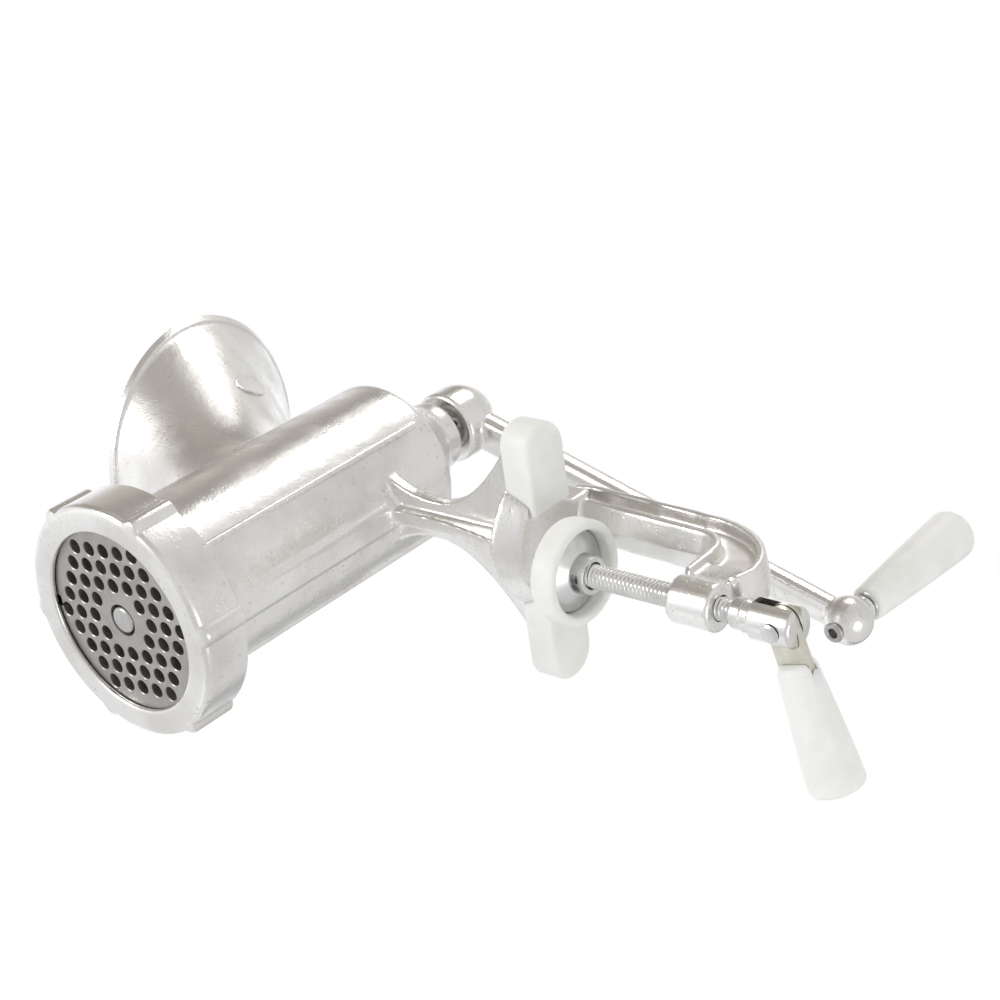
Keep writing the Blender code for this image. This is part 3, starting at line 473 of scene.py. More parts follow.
class Bench:
    """Material or world under construction."""

    def __init__(self, tree: bpy.types.NodeTree) -> None:
        """Clears the node tree and keeps it."""
        self.tree = tree
        tree.nodes.clear()

    def add(self, kind: str, settings: dict[str, Any] | None = None, inputs: dict[Any, Any] | None = None,
            output: Any = 0) -> Wire:
        """Adds a node.

        Args:
            kind: type of the node.
            settings: properties that are set first, such as a Math node's operation.
            inputs: value or wire for each named or numbered input.
            output: name or number of the output to hand back.

        Returns:
            The chosen output as a wire.
        """
        node = self.tree.nodes.new(kind)
        for key, value in (settings or {}).items():
            setattr(node, key, value)
        for key, value in (inputs or {}).items():
            if isinstance(value, Wire):
                self.tree.links.new(value.socket, node.inputs[key])
            else:
                node.inputs[key].default_value = value
        return Wire(self, node.outputs[output]) if node.outputs else Wire(self, None)

    def place(self, scale: Sequence[float] = (1.0, 1.0, 1.0),
              centre: Sequence[float] = ORIGIN) -> Wire:
        """Position on the object in millimetres from a centre, stretched by a scale.

        Args:
            scale: stretch along each axis.
            centre: point in millimetres that becomes the origin.

        Returns:
            The position.
        """
        spot = self.add("ShaderNodeTexCoord", output="Object")
        stretch = [1000.0 * s for s in scale]
        shift = [-c * s for c, s in zip(centre, scale)]
        return self.add("ShaderNodeMapping", {}, {"Vector": spot, "Scale": stretch, "Location": shift})

    def noise(self, where: Wire, size: float, detail: float = 3.0, rough: float = 0.55) -> Wire:
        """Cloudy noise whose blobs are about the size given in millimetres."""
        inputs = {"Vector": where, "Scale": 1.0 / size, "Detail": detail, "Roughness": rough}
        return self.add("ShaderNodeTexNoise", {"noise_dimensions": "3D"}, inputs, "Fac")

    def blend(self, mask: Any, first: Any, second: Any) -> Wire:
        """Colour that goes from the first to the second with the mask."""
        settings = {"data_type": "RGBA"}
        return self.add("ShaderNodeMix", settings, {"Factor": mask, 6: first, 7: second}, 2)

    def bump(self, height: Wire, distance: float, strength: float = 1.0, normal: Wire | None = None) -> Wire:
        """Normal bent by a height, its full range being the distance in millimetres.

        Args:
            height: height that varies over the surface.
            distance: its full range in millimetres.
            strength: share of the effect.
            normal: normal that is bent further, if any.

        Returns:
            The bent normal.
        """
        inputs: dict[Any, Any] = {"Height": height, "Distance": distance * MM, "Strength": strength}
        if normal:
            inputs["Normal"] = normal
        return self.add("ShaderNodeBump", {}, inputs)


def worn_edge(bench: Bench, where: Wire, low: float, high: float) -> Wire:
    """Mask of the raised edges, broken up by a fine noise."""
    raised = bench.add("ShaderNodeNewGeometry", output="Pointiness").ramp(low, high)
    return raised * bench.noise(where, 2.2, 4.0).ramp(0.35, 0.62)


def close(bench: Bench, fixed: dict[str, Any], varying: dict[str, Wire]) -> None:
    """Ends a surface with its shader and output."""
    shade = bench.add("ShaderNodeBsdfPrincipled", {}, {**fixed, **varying})
    bench.add("ShaderNodeOutputMaterial", {}, {"Surface": shade})


def blank(name: str) -> tuple[bpy.types.Material, Bench]:
    """New material and its bench.

    Args:
        name: name of the new object or material.

    Returns:
        The material and its bench.
    """
    made = bpy.data.materials.new(name)
    made.use_nodes = True
    return made, Bench(made.node_tree)


@dataclass(frozen=True)
class CastFinish:
    """Tumbled cast aluminium: satin, slightly wavy, with fine grain, clouds and bright worn edges."""

    name: str = "cast_aluminium"
    bright: Colour = (0.90, 0.89, 0.875, 1.0)
    dull: Colour = (0.74, 0.725, 0.70, 1.0)
    stain: Colour = (0.52, 0.50, 0.47, 1.0)
    smoothest: float = 0.17
    roughest: float = 0.38
    grain: float = 0.06
    wave: float = 0.22

    def build(self) -> bpy.types.Material:
        """Makes the material.

        Returns:
            The material.
        """
        made, bench = blank(self.name)
        where = bench.place()
        cloud = bench.noise(where, 26.0, 4.0).ramp(0.36, 0.66)
        fine = bench.noise(where, 0.9, 3.0, 0.6)
        speck = bench.noise(where, 1.6, 3.0).ramp(0.63, 0.72)
        dip = bench.noise(where, 7.0, 2.0, 0.4)
        edge = worn_edge(bench, where, 0.515, 0.56)
        tone = bench.blend(cloud, self.bright, self.dull)
        tone = bench.blend(speck * 0.55, tone, self.stain)
        tone = bench.blend(edge * 0.7, tone, self.bright)
        rough = cloud * (self.roughest - self.smoothest) + self.smoothest + fine * 0.10 - edge * 0.05
        skin = bench.bump(dip, self.wave)
        skin = bench.bump(fine - speck * 0.6, self.grain, 1.0, skin)
        close(bench, {"Metallic": 1.0}, {"Base Color": tone, "Roughness": rough, "Normal": skin})
        return made


@dataclass(frozen=True)
class LatheFinish:
    """Turned or ground metal: fine lines round a centre, faint clouds and bright edges."""

    name: str
    bright: Colour
    dull: Colour
    rough: float = 0.26
    centre: tuple[float, float, float] = ORIGIN
    axis: Axis = Axis.Y
    line: float = 0.25
    depth: float = 0.012

    def build(self) -> bpy.types.Material:
        """Makes the material; the lines follow the distance from the centre line.

        Returns:
            The material.
        """
        made, bench = blank(self.name)
        where = bench.place()
        flat = (1.0, 0.0, 1.0) if self.axis is Axis.Y else (1.0, 1.0, 0.0)
        around = bench.place(flat, self.centre)
        reach = bench.add("ShaderNodeVectorMath", {"operation": "LENGTH"}, {0: around}, "Value")
        ring = bench.add("ShaderNodeTexNoise", {"noise_dimensions": "1D"},
                         {"W": reach, "Scale": 1.0 / self.line, "Detail": 2.0}, "Fac")
        cloud = bench.noise(where, 9.0, 4.0).ramp(0.35, 0.68)
        fine = bench.noise(where, 0.7, 3.0)
        edge = worn_edge(bench, where, 0.52, 0.57)
        tone = bench.blend(cloud * 0.7 + ring * 0.3, self.bright, self.dull)
        tone = bench.blend(edge * 0.6, tone, self.bright)
        rough = self.rough + cloud * 0.10 + ring * 0.08 + fine * 0.04 - edge * 0.04
        skin = bench.bump(ring * 0.7 + fine * 0.5, self.depth)
        close(bench, {"Metallic": 1.0}, {"Base Color": tone, "Roughness": rough, "Normal": skin})
        return made


@dataclass(frozen=True)
class MouldedFinish:
    """White moulded plastic: slight cloudiness, satin grain and soft light under the skin."""

    name: str
    white: Colour = (0.90, 0.905, 0.88, 1.0)
    shade: Colour = (0.85, 0.86, 0.825, 1.0)
    scuffed: Colour = (0.70, 0.70, 0.66, 1.0)
    rough: float = 0.36
    glow: float = 0.35

    def build(self) -> bpy.types.Material:
        """Makes the material.

        Returns:
            The material.
        """
        made, bench = blank(self.name)
        where = bench.place()
        cloud = bench.noise(where, 14.0, 3.0).ramp(0.38, 0.66)
        fine = bench.noise(where, 0.6, 2.0)
        scuff = bench.noise(bench.place((1.0, 0.25, 1.0)), 1.4, 4.0).ramp(0.64, 0.74)
        tone = bench.blend(cloud, self.white, self.shade)
        tone = bench.blend(scuff * 0.25, tone, self.scuffed)
        rough = cloud * 0.10 + fine * 0.08 + scuff * 0.10 + self.rough
        skin = bench.bump(fine, 0.02)
        fixed = {"Subsurface Weight": self.glow, "Subsurface Radius": (1.0, 0.9, 0.7),
                 "Subsurface Scale": 0.002}
        close(bench, fixed, {"Base Color": tone, "Roughness": rough, "Normal": skin})
        return made


@dataclass
class Finishes:
    """Rack of finishes, one material for each of the record's slots."""

    made: dict[str, bpy.types.Material] = field(default_factory=dict)

    def __post_init__(self) -> None:
        """Makes every material once."""
        silver: Colour = (0.86, 0.85, 0.83, 1.0)
        zinc: Colour = (0.80, 0.81, 0.81, 1.0)
        rack: dict[str, Any] = {
            "cast_aluminium": CastFinish(),
            "ring_aluminium": CastFinish("ring_aluminium", smoothest=0.15, roughest=0.32, wave=0.10),
            "crank_aluminium": CastFinish("crank_aluminium", smoothest=0.14, roughest=0.30, wave=0.08),
            "plate_steel": LatheFinish("plate_steel", (0.47, 0.455, 0.44, 1.0),
                                       (0.38, 0.365, 0.35, 1.0), 0.36, HUB),
            "pin_steel": LatheFinish("pin_steel", (0.62, 0.61, 0.60, 1.0), (0.40, 0.39, 0.38, 1.0), 0.24),
            "knife_steel": LatheFinish("knife_steel", (0.60, 0.59, 0.57, 1.0),
                                       (0.42, 0.41, 0.40, 1.0), 0.28, HUB),
            "auger_iron": CastFinish("auger_iron", (0.60, 0.59, 0.57, 1.0), (0.48, 0.47, 0.45, 1.0),
                                     (0.30, 0.29, 0.27, 1.0), 0.28, 0.45),
            "stud_steel": LatheFinish("stud_steel", (0.62, 0.61, 0.60, 1.0),
                                      (0.48, 0.47, 0.46, 1.0), 0.22, HUB),
            "washer_white": MouldedFinish("washer_white", rough=0.5),
            "screw_zinc": LatheFinish("screw_zinc", zinc, (0.62, 0.62, 0.61, 1.0), 0.22, axis=Axis.Z),
            "screw_bright_zinc": LatheFinish("screw_bright_zinc", silver, (0.66, 0.66, 0.65, 1.0),
                                             0.16, axis=Axis.Z),
            "lever_zinc": LatheFinish("lever_zinc", (0.80, 0.79, 0.70, 1.0), (0.62, 0.60, 0.50, 1.0), 0.30,
                                      line=3.0),
            "grip_white": MouldedFinish("grip_white"),
            "pad_white": MouldedFinish("pad_white", rough=0.45),
        }
        self.made = {slot: finish.build() for slot, finish in rack.items()}

    def dress(self, piece: bpy.types.Object, slot: str, body: Body, *nodes: str) -> None:
        """Finishes a piece: material, slot, body and the frame nodes that it stands for.

        Args:
            piece: piece that is worked on.
            slot: slot in the record.
            body: body that the piece moves with.
            nodes: frame nodes that it stands for.
        """
        piece.data.materials.clear()
        piece.data.materials.append(self.made[slot])
        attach(piece, body.value)
        if nodes:
            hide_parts(*nodes)
        LOG.info("%s: %d faces, %s", piece.name, len(piece.data.polygons), slot)

    def redress(self, node: str, slot: str) -> None:
        """Gives a frame node its finish; its mesh stays as it is.

        Args:
            node: frame node that keeps its mesh.
            slot: slot in the record.
        """
        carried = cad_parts[node]
        for place in carried.material_slots:
            place.material = self.made[slot]
        LOG.info("%s: carried over, %s", node, slot)


# ---- sub-assemblies --------------------------------------------------------

@dataclass
class BodyCasting:
    """One casting: hopper, barrel, leg, jaw, clamp frame and screw boss."""

    front_y: float = -81.7
    neck_end: float = 62.5
    neck_r: float = 12.4
    barrel_front_r: float = 30.4
    barrel_rear_r: float = 29.3
    flange_r: float = 36.2
    bore_r: float = 26.0
    mouth_y: float = 18.0
    mouth_z: float = AXIS_Z + 75.7
    mouth_r: float = 47.9
    mouth_tilt: float = math.radians(-6.0)
    wall: float = 2.6
    base_y: float = -22.0
    arm_inner_z: float = -52.4
    arm_outer_z: float = -76.4
    boss_r: float = 7.6
    boss_top: float = -56.5
    boss_end: float = -71.8
    jaw_front: float = -6.9
    jaw_rear: float = 4.1
    jaw_curve: float = 0.0267
    spine_lean: float = 0.042
    grain: float = 0.8
    passes: int = 4
    triangles: int = 150000

    def hopper(self, height: Sequence[float], shrink: Sequence[float], count: int = 144) -> Array:
        """Rings of the hopper.

        Formula: at height fraction t the ring is an ellipse with half-axes a(t) and b(t) less
        the shrink; a and b go from the barrel's footprint to a cone of power 1.15 with the
        weight 1 - (1-t)^2.2, and the centre leans back by 0.65 t + 0.35 t^2 (3 - 2t).

        Args:
            height: fraction of the way from the barrel to the mouth, one for each ring.
            shrink: amount taken off both half-axes, one for each ring.
            count: points round a ring.

        Returns:
            Points, rings by angles by three.
        """
        t = np.asarray(height, float)[:, None]
        less = np.asarray(shrink, float)[:, None]
        base = np.maximum(0.0, 1.0 - t) ** 2.2
        a = 27.6 * base + (17.0 + (self.mouth_r - 17.0) * t ** 1.15) * (1.0 - base) - less
        b = 36.0 * base + (19.0 + (self.mouth_r - 19.0) * t ** 1.15) * (1.0 - base) - less
        lean = t * t * (3.0 - 2.0 * t) * 0.35 + 0.65 * t
        centre = self.base_y + (self.mouth_y - self.base_y) * lean
        level = AXIS_Z + 4.0 + (self.mouth_z - AXIS_Z - 4.0) * t
        angle = angles(count)[None, :]
        u, v = a * np.cos(angle), b * np.sin(angle)
        tilt = self.mouth_tilt * t
        return np.stack([u, centre + v * np.cos(tilt), level - v * np.sin(tilt)], axis=-1)

    def hopper_skin(self) -> bpy.types.Object:
        """Outer skin of the hopper, carried down into the barrel, with its beaded rim.

        Returns:
            The skin as a closed solid.
        """
        t = np.concatenate([np.linspace(0.0, 0.94, 48), [0.953, 0.958, 0.962, 0.97, 0.987, 0.995, 1.0]])
        less = np.concatenate([np.zeros(48), [0.0, -0.35, -0.8, -1.0, -1.0, -0.85, -0.3]])
        rings = self.hopper(t, less)
        foot = rings[:1].copy()
        foot[..., 2] = AXIS_Z - 4.0
        return solid("hopper_skin", np.concatenate([foot, rings]))

    def hopper_hollow(self) -> bpy.types.Object:
        """Inside of the funnel, from above the rim down into the bore.

        Returns:
            The cutter.
        """
        t = np.linspace(0.1, 1.04, 48)
        less = self.wall + 2.4 * np.clip((0.2 - t) / 0.1, 0.0, 1.0)
        rings = self.hopper(np.append(t[:-1], 1.04), less)
        floor = self.hopper([0.0], [self.wall + 3.0])
        floor[..., 0] *= 0.80
        floor[..., 1] = self.base_y + 0.80 * (floor[..., 1] - self.base_y)
        floor[..., 2] = AXIS_Z + 2.0
        return solid("hopper_hollow", np.concatenate([floor, rings]))

    def rim(self) -> bpy.types.Object:
        """Bead round the mouth: a band carried round the hopper at the heights and insets given."""
        line = rounded([(0.952, 0.6), (0.957, -0.7), (0.962, -1.0), (0.993, -1.0), (1.0, -0.5), (1.0, 2.1),
                        (0.992, 2.5), (0.952, 2.2)], 0.004, 2, True)
        return solid("rim", self.hopper(line[:, 0], line[:, 1], 288), loop=True)

    def barrel(self) -> bpy.types.Object:
        """Outside of the barrel, from the threaded mouth to the rear bearing neck.

        Returns:
            The barrel as a closed solid.
        """
        end, neck = self.neck_end, self.neck_r
        profile = [(0.0, end), (neck - 0.8, end), (neck, end - 0.8), (neck + 0.5, 56.0), (neck + 2.2, 52.5),
                   (18.5, 48.0), (24.0, 41.6), (26.6, 38.4), (28.2, 37.6), (self.barrel_rear_r - 0.2, 36.4),
                   (self.barrel_rear_r, 34.5), (self.barrel_front_r, -70.0), (self.flange_r, -74.6),
                   (self.flange_r, self.front_y), (0.0, self.front_y)]
        return solid("body_shell", turned(rounded(profile, 1.6), Axis.Y, HUB, 180))

    def bore(self) -> bpy.types.Object:
        """Machined inside of the barrel, with the bearing hole through the neck."""
        profile = np.array([(0.0, 65.5), (8.3, 65.5), (8.3, 35.0), (20.0, 35.0), (25.4, 30.0),
                            (self.bore_r, 26.0), (self.bore_r, -84.7), (0.0, -84.7)])
        return solid("bore", turned(profile, Axis.Y, HUB, 180))

    def ribs(self) -> list[bpy.types.Object]:
        """Thin round rib along each lower flank of the barrel.

        Returns:
            One rib for each side.
        """
        made = []
        for side in (-1, 1):
            angle, reach = math.radians(-46.0), self.barrel_rear_r + 0.25
            spot = (side * math.cos(angle) * reach, 0.0, AXIS_Z + math.sin(angle) * reach)
            made.append(rod("flank_rib", Axis.Y, spot, 1.4, -69.0, 31.0, 24))
        return made

    def keel(self) -> bpy.types.Object:
        """Broad low rib under the barrel.

        Returns:
            The keel.
        """
        low, high = AXIS_Z - 31.4, AXIS_Z - 27.0
        outline = rounded([(-4.2, low), (4.2, low), (6.6, high), (-6.6, high)], 1.0, closed=True)
        return solid("keel", extruded(outline, Plane.XZ, -71.0, 15.0))

    def leg(self) -> list[bpy.types.Object]:
        """Wishbone plate, its forward rib and the rear web.

        Formula: above the waist at z = 47 the half width is 6.8 + 11 s^2.4, and below it
        6.8 + 27.5 s^1.9, s being the share of the way to the barrel or to the jaw.

        Returns:
            Plate, rib and web.
        """
        z = np.linspace(AXIS_Z - 20.0, 12.0, 60)
        up = np.clip((z - 47.0) / 28.0, 0.0, 1.0)
        down = np.clip((47.0 - z) / 35.0, 0.0, 1.0)
        half = 6.8 + 11.0 * up ** 2.4 + 27.5 * down ** 1.9
        right = np.vstack([np.stack([half, z], axis=-1), [(11.8, 12.0), (11.8, 5.8)]])
        outline = np.vstack([right, right[::-1] * (-1.0, 1.0)])
        rib = [(2.0, 69.0), (4.6, 61.0), (4.9, 45.0), (3.0, 29.0), (-0.4, 9.7), (12.0, 9.4), (12.0, 69.0)]
        web = [(12.0, 67.0), (15.5, 55.0), (18.5, 39.0), (24.0, 27.0), (33.0, 15.0), (37.4, 5.6), (12.0, 6.0)]
        return [solid("leg_plate", extruded(outline, Plane.XZ, 8.5, 13.5)),
                solid("leg_rib", extruded(rounded(rib, 6.0, 6, True), Plane.YZ, -2.6, 2.6)),
                solid("leg_web", extruded(rounded(web, 4.0, 6, True), Plane.YZ, -2.5, 2.5))]

    def jaw(self) -> list[bpy.types.Object]:
        """Crescent jaw with a slanted face, and the flat horns under the pads.

        Formula: the front edge is the parabola y = -6.9 + inset + 0.0267 x^2 out to y = 4.1.

        Returns:
            The jaw and its horns.
        """
        def ring(level: float, inset: float) -> Array:
            """Outline of the jaw at one level.

            Args:
                level: height of the outline.
                inset: how far the outline is drawn in.

            Returns:
                Points of the outline at that level.
            """
            reach = math.sqrt((self.jaw_rear - self.jaw_front - inset) / self.jaw_curve)
            x = np.linspace(-reach, reach, 41)
            front = np.stack([x, self.jaw_front + inset + self.jaw_curve * x * x], axis=-1)
            right = np.array([(12.0, self.jaw_rear), (12.0, 21.0), (9.2, 25.0), (9.2, 34.0)])
            back = np.vstack([right, right[::-1] * (-1.0, 1.0)])
            flat = np.vstack([front, back])
            return np.column_stack([flat, np.full(len(flat), level)])
        levels = [ring(1.8, 4.6), ring(2.4, 3.9), ring(10.6, 0.1), ring(11.5, 0.1), ring(12.0, 0.8)]
        horn = rounded([(36.0, 7.6), (36.0, 19.4), (-36.0, 19.4), (-36.0, 7.6)], 2.0, closed=True)
        return [solid("jaw", np.stack(levels)), solid("horns", extruded(horn, Plane.XY, 2.4, 9.4))]

    def outer_line(self, offset: float) -> Array:
        """Side line of the frame's outer flange, offset inwards: a leaning spine, then a quarter ellipse.

        Args:
            offset: distance from the crown of the flange, in millimetres.

        Returns:
            Points in Y and Z.
        """
        low, turn_z, spine, middle = self.arm_outer_z + offset, -43.0, 41.0 - offset, 12.5
        across, down = spine + self.spine_lean * turn_z - middle, turn_z - low
        angle = np.linspace(0.0, np.pi / 2, 40)
        bend = np.stack([middle + across * np.cos(angle), turn_z - down * np.sin(angle)], axis=-1)
        return np.vstack([[(spine - 1.6, 11.0), (spine + 0.168, 4.0)], bend, [(6.4, low + 1.9)]])

    def inner_line(self, offset: float) -> Array:
        """Side line of the frame's inner flange, offset outwards: a leaning spine and a round corner.

        Args:
            offset: distance from the crown of the flange, in millimetres.

        Returns:
            Points in Y and Z.
        """
        corner, low, spine = 6.0 + offset, self.arm_inner_z - offset, 26.2 + offset
        turn_y = spine + self.spine_lean * (low + corner)
        angle = np.linspace(0.0, -np.pi / 2, 24)
        bend = np.stack([turn_y - corner + corner * np.cos(angle),
                         low + corner + corner * np.sin(angle)], axis=-1)
        last = (5.0, min(low, self.boss_top + 0.9))
        return np.vstack([[(spine - 1.6, 11.0), (spine + 0.252, 6.0)], bend, [last]])

    def clamp_frame(self) -> list[bpy.types.Object]:
        """Two flanges with their parting-line crowns, the web between them, and the screw boss.

        Returns:
            Flanges, web, boss and shoe.
        """
        half, made = 7.5, []
        flanges = (("outer", self.outer_line, 1.0, 2.4), ("inner", self.inner_line, 2.6, 2.6))
        for name, line, crown, thick in flanges:
            peak, edge, back = line(0.0), line(crown), line(crown + thick)
            rows = ((-half, edge), (0.0, peak), (half, edge), (half, back), (-half, back))
            rings = np.stack([np.column_stack([np.full(len(side), x), side]) for x, side in rows], axis=1)
            made.append(solid(f"flange_{name}", rings))
        web = np.vstack([self.outer_line(1.8), self.inner_line(3.4)[::-1]])
        made.append(solid("frame_web", extruded(web, Plane.YZ, -2.6, 2.6)))
        boss = rounded([(0.0, self.boss_end), (self.boss_r, self.boss_end), (self.boss_r, self.boss_top),
                        (0.0, self.boss_top)], 0.8)
        made.append(solid("screw_boss", turned(boss, Axis.Z, ORIGIN, 96)))
        shoe = np.array([(0.0, self.boss_top - 0.9), (14.0, self.arm_inner_z - 4.4),
                         (14.2, self.arm_outer_z + 2.1), (0.0, self.boss_end + 0.9)])
        made.append(solid("boss_shoe", extruded(shoe, Plane.YZ, -5.6, 5.6)))
        return made

    def casting_mark(self) -> bpy.types.Object:
        """Plain raised oval on the hopper's flank.

        Formula: centre + 5.6 cos v along the slope + 8 sin v round the hopper, lifted along
        the skin's normal and let down by 1.0 sin^2 v to follow the curve.

        Returns:
            The oval.
        """
        side, = self.hopper([0.60], [0.0], 72)[:, 7]
        slope = self.hopper([0.68], [0.0], 72)[0, 7] - self.hopper([0.52], [0.0], 72)[0, 7]
        along = self.hopper([0.60], [0.0], 72)[0, 8] - self.hopper([0.60], [0.0], 72)[0, 6]
        slope, along = slope / np.linalg.norm(slope), along / np.linalg.norm(along)
        normal = np.cross(slope, along)
        normal = normal / np.linalg.norm(normal) * np.sign(normal[0])
        angle = angles(64)[:, None]
        rings = [side + slope * 5.6 * grow * np.cos(angle) + along * 8.0 * grow * np.sin(angle)
                 + normal * (lift - np.sin(angle) ** 2)
                 for lift, grow in ((-1.8, 1.0), (0.65, 1.0), (0.95, 0.95), (0.95, 0.9))]
        return solid("casting_mark", np.stack(rings))

    def build(self, rack: Finishes) -> None:
        """Casts the body, then machines its mouth, bore and holes.

        Args:
            rack: finishes that the pieces are dressed from.
        """
        cast = self.barrel()
        combine(cast, Join.ADD, self.hopper_skin(), self.keel(), *self.leg(), *self.jaw(),
                *self.clamp_frame())
        combine(cast, Join.CUT, self.hopper_hollow(), self.bore())
        recast(cast, self.grain, self.passes, self.triangles)
        combine(cast, Join.ADD, self.casting_mark(), self.rim(), *self.ribs())
        combine(cast, Join.CUT, self.bore(),
                rod("screw_hole", Axis.Z, ORIGIN, 4.1, self.boss_end - 5, -50.0, 64),
                rod("key_hole", Axis.Y, (0.0, 0.0, AXIS_Z + 31.5), 1.8, -84.0, -75.7, 24))
        rack.dress(smooth(cast, 48.0), "cast_aluminium", Body.CASTING, "body_casting")


@dataclass
class Outlet:
    """Ring nut, perforated plate, key pin and knife at the barrel's mouth."""

    plate_r: float = 34.5
    front: float = -88.0
    thick: float = 6.0
    pitch: float = 6.9
    hole_r: float = 2.45
    ring_r: float = 40.0
    lobe_r: float = 3.5
    lobe_tip: float = 41.9
    lobes: int = 6
    lobe_phase: float = math.radians(36.0)

    def ring(self, rack: Finishes) -> None:
        """Ring nut with half-round grip lobes.

        Formula: at angle v the rim stands at the smooth maximum of the ring's radius and of
        the far side of the nearest lobe, c cos d + sqrt(r^2 - c^2 sin^2 d), d being the angle
        to that lobe, c the distance of its centre and r its radius.

        Args:
            rack: finishes that the pieces are dressed from.
        """
        steps = 720
        angle = angles(steps)
        gap = 2 * np.pi / self.lobes
        d = (angle - self.lobe_phase + gap / 2) % gap - gap / 2
        c = self.lobe_tip - self.lobe_r
        inside = self.lobe_r ** 2 - (c * np.sin(d)) ** 2
        far = np.where(inside > 0.0, c * np.cos(d) + np.sqrt(np.maximum(inside, 0.0)), 0.0)
        mix = np.maximum(0.9 - np.abs(far - self.ring_r), 0.0)
        swell = np.maximum(far, self.ring_r) + mix * mix / 3.6 - self.ring_r
        swell = np.minimum(swell, self.lobe_tip - self.ring_r)
        rim, back, face = self.ring_r, -72.4, -90.0
        profile = rounded([(36.5, back, 0), (rim - 0.6, back, 0.9), (rim, back - 0.6, 1),
                           (rim, face + 1.9, 1), (rim - 0.5, face + 0.7, 0.9), (rim - 1.8, face, 0),
                           (31.6, face, 0), (31.0, face + 0.6, 0), (31.0, -88.3, 0),
                           (36.5, -88.3, 0)], 0.7, 4, True)
        nut = solid("ring_nut_turned", turned(profile, Axis.Y, HUB, steps, swell), loop=True)
        rack.dress(smooth(nut, 40.0), "ring_aluminium", Body.RING, "ring_nut")

    def holes(self) -> bpy.types.Object:
        """Cutter for the plate: one rod for each hole of a hexagonal grid, without the middle seven.

        Formula: row j holds 9 - |j| places a pitch apart, the rows stand a pitch times
        sqrt(3)/2 apart, and the grid is turned by -95 degrees about the barrel.

        Returns:
            All rods as one cutter.
        """
        row, place = np.meshgrid(np.arange(-4, 5), np.arange(9), indexing="ij")
        count = 9 - np.abs(row)
        u = (place - (count - 1) / 2.0) * self.pitch
        v = row * self.pitch * math.sqrt(3.0) / 2.0
        keep = (place < count) & (np.hypot(u, v) > 1.2 * self.pitch)
        u, v = u[keep], v[keep]
        turn = math.radians(-95.0)
        x, z = u * math.cos(turn) + v * math.sin(turn), -u * math.sin(turn) + v * math.cos(turn)
        angle = angles(28)
        radius = np.array([self.hole_r + 0.65, self.hole_r, self.hole_r])
        level = np.array([self.front - 0.4, self.front + 0.25, self.front + self.thick + 2.0])
        px = x[:, None, None] + radius[None, :, None] * np.cos(angle)
        pz = AXIS_Z + z[:, None, None] + radius[None, :, None] * np.sin(angle)
        py = np.broadcast_to(level[None, :, None], px.shape)
        points = np.stack([px, py, pz], axis=-1)
        index = np.arange(px.size).reshape(px.shape)
        lower, upper = index[:, :-1], index[:, 1:]
        walls = np.stack([lower, np.roll(lower, -1, 2), np.roll(upper, -1, 2), upper], axis=-1)
        faces = walls.reshape(-1, 4).tolist() + index[:, 0, ::-1].tolist() + index[:, -1].tolist()
        return meshed("plate_holes", points, faces)

    def plate(self, rack: Finishes) -> None:
        """Ground steel plate with countersunk holes, a stud hole and a key notch.

        Args:
            rack: finishes that the pieces are dressed from.
        """
        back = self.front + self.thick
        edge = rounded([(0.0, self.front), (self.plate_r, self.front), (self.plate_r, back),
                        (0.0, back)], 0.4)
        disc = solid("perforated_plate_drilled", turned(edge, Axis.Y, HUB, 180))
        centre = np.array([(0.0, self.front - 1), (5.9, self.front - 1), (5.4, self.front + 0.4),
                           (5.4, back + 1), (0.0, back + 1)])
        combine(disc, Join.CUT, self.holes(), solid("stud_hole", turned(centre, Axis.Y, HUB, 64)),
                block("key_notch", Plane.XZ, (-1.9, AXIS_Z + 29.6), (1.9, AXIS_Z + 38), self.front - 1,
                      back + 1))
        rack.dress(smooth(disc, 30.0), "plate_steel", Body.OUTLET, "perforated_plate")

    def build(self, rack: Finishes) -> None:
        """Makes the outlet's pieces.

        Args:
            rack: finishes that the pieces are dressed from.
        """
        self.ring(rack)
        self.plate(rack)
        rack.redress("plate_key_pin", "pin_steel")
        rack.redress("cutting_knife", "knife_steel")


